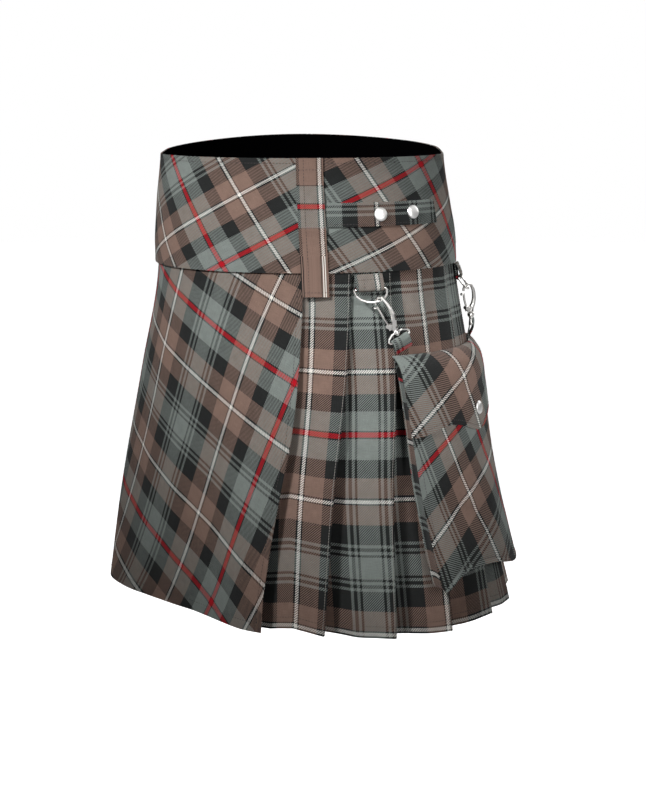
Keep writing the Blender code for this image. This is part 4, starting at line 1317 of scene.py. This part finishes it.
def dress_pocket_flap(cols=70):
    outer, inner, dist, rise = [], [], [], []
    for u in np.linspace(-1.015, 1.015, cols):
        back, front = float(pocket_back(POCKET_TOP)), float(pocket_back(-0.20) + pocket_depth(u, -0.24))
        low = float(flap_low(u))
        line = [(back + 0.0004, POCKET_TOP + 0.0010), (back + 0.45 * (front - back), POCKET_TOP + 0.0002),
                (front - 0.0010, POCKET_TOP - 0.0060), (front + 0.0012, POCKET_TOP - 0.0115),
                (front + 0.0016, POCKET_TOP - 0.0260), (front + 0.0019, (low + POCKET_TOP - 0.026) / 2),
                (front + 0.0021, low)]
        line = chaikin(line, 3)
        drop = POCKET_TOP - line[:, 1]
        ridge = np.exp(-((drop - 0.022 - 0.004 * u) / 0.006)**2) * np.exp(-((u + 0.2) / 0.6)**2)
        trough = np.exp(-((drop - 0.036 + 0.004 * u) / 0.007)**2) * np.exp(-((u - 0.1) / 0.5)**2)
        line[:, 0] += np.maximum(0.0010 * ridge - 0.0007 * trough, -0.0007)
        over, under = offsets(line, 0.00065)
        outer.append([cloth_point(float(pocket_angle(u, z)), z, off) for off, z in over])
        inner.append([cloth_point(float(pocket_angle(u, z)), z, off) for off, z in under])
        dist.append([float(along(float(pocket_angle(u, z)), z)) for _, z in over])
        run = distances(line)
        rise.append(run[-1] + low - run)
    outer, inner = np.array(outer), np.array(inner)
    ob = shell("cloth_pocket_flap", outer, inner, *pocket_grain("flap", np.array(dist), np.array(rise)))
    finish_piece(ob, APRON_CLOTH, "pocket_flap", outer)
    n = outer.shape[1]
    threads = [beside(outer, inner, [n - 1] * cols, 0.0045)[4:-4]]
    for d in (1, -1):
        turned = [g[::d].transpose(1, 0, 2) for g in (outer, inner)]
        threads.append(beside(*turned, [0] * n, -0.0045)[n // 3:-6])
    sew("stitches_pocket", *threads)


# stage
FOCAL = 1763.0          # focal length, in pixels of a picture 800 pixels high
AMBIENT = 0.05
# name, place, size, watts, target, cone (deg; none for a square panel)
LIGHTS = (
    ("key", (-0.95, -1.12, 0.80), 0.14, 138, (0.20, -0.10, -0.10), 34),
    ("side", (0.85, -1.25, 0.25), 0.15, 75, (0.195, -0.12, -0.16), 17),
    ("fill", (0.9, -1.7, 0.15), 1.0, 2.0, (0, 0, -0.2), 0),
    ("back", (0.3, 2.2, 0.9), 1.4, 17.0, (0, 0.1, -0.2), 0),
    ("back_right", (1.7, 1.1, 0.6), 1.0, 8.0, (0.1, 0.05, -0.2), 0),
    ("back_left", (-1.7, 1.1, 0.6), 1.0, 8.0, (-0.1, 0.05, -0.2), 0),
)


def stage():
    # a floor one metre below the waist
    ob = mesh_object("floor", [(-9, -9, -1.0), (9, -9, -1.0), (9, 9, -1.0), (-9, 9, -1.0)], [(0, 1, 2, 3)])
    m = plain("floor_white", (0.90, 0.90, 0.90), 0.9)
    t = Nodes(m.node_tree)
    path = t.add("ShaderNodeLightPath")
    b = m.node_tree.nodes["Principled BSDF"]
    b.inputs["Emission Color"].default_value = (1, 1, 1, 1)
    mirrored = t.math("MULTIPLY", path.outputs["Is Glossy Ray"], 0.35)
    t.link(t.math("MAXIMUM", path.outputs["Is Camera Ray"], mirrored), b.inputs["Emission Strength"])
    ob.data.materials.append(m)
    world = bpy.data.worlds.new("studio")
    bpy.context.scene.world = world
    world.use_nodes = True
    t = Nodes(world.node_tree)
    path = t.add("ShaderNodeLightPath")
    back = world.node_tree.nodes["Background"]
    back.inputs[0].default_value = (1, 1, 1, 1)
    # what the metal mirrors: soft boxes above and beside, dark walls between them
    co = t.add("ShaderNodeTexCoord")
    sep = t.add("ShaderNodeSeparateXYZ")
    t.link(co.outputs["Generated"], sep.inputs[0])
    wave = t.math("SINE", t.math("MULTIPLY", t.math("ARCTAN2", sep.outputs[0], sep.outputs[1]), 5.0))
    bands = t.math("GREATER_THAN", wave, 0.1)
    high = t.math("GREATER_THAN", sep.outputs[2], 0.12)
    beyond = t.math("SUBTRACT", t.math("MULTIPLY", sep.outputs[1], -1.0), 0.45)
    ahead = t.math("MULTIPLY", beyond, 5.0, clamp=True)
    boxes = t.math("MULTIPLY", t.math("MULTIPLY", bands, high), 0.8)
    mirror = t.math("ADD", 0.05, t.math("ADD", boxes, t.math("MULTIPLY", ahead, 1.3)))
    more = t.math("MULTIPLY", path.outputs["Is Glossy Ray"], t.math("SUBTRACT", mirror, AMBIENT))
    ambient = t.math("ADD", AMBIENT, more)
    t.link(t.math("MAXIMUM", path.outputs["Is Camera Ray"], ambient), back.inputs[1])
    for name, at, size, watts, to, cone in LIGHTS:
        light = bpy.data.lights.new(name, "SPOT" if cone else "AREA")
        light.energy = watts
        if cone:
            light.shadow_soft_size, light.spot_size, light.spot_blend = size, math.radians(cone), 1.0
        else:
            light.shape, light.size = "SQUARE", size
        lamp = bpy.data.objects.new(name, light)
        bpy.context.scene.collection.objects.link(lamp)
        lamp.location = at
        lamp.rotation_euler = (Vector(to) - Vector(at)).to_track_quat("-Z", "Y").to_euler()
    cam = bpy.data.cameras.new("camera")
    cam.sensor_width = 36.0
    cam.lens = FOCAL * cam.sensor_width / 800.0
    eye = bpy.data.objects.new("camera", cam)
    bpy.context.scene.collection.objects.link(eye)
    eye.location = (0.0205, -1.70, 0.09)
    eye.rotation_euler = (math.pi / 2 - math.atan(340 / FOCAL), 0, 0)
    bpy.context.scene.camera = eye
    bpy.context.scene.view_settings.view_transform = "Standard"


def main():
    dress_yoke()
    dress_pleats()
    dress_aprons()
    dress_strap()
    dress_belt_loop()
    dress_hangers()
    dress_pocket_back()
    dress_pocket_front()
    dress_pocket_gusset()
    dress_pocket_flap()
    finish_seams()
    for name, ob in frame["nodes"].items():
        if name.startswith(("d_ring", "clip_", "strap_snap", "pocket_snap")):
            ob.data.materials.clear()
            ob.data.materials.append(CAP if "snap" in name else NICKEL)
    stage()


main()
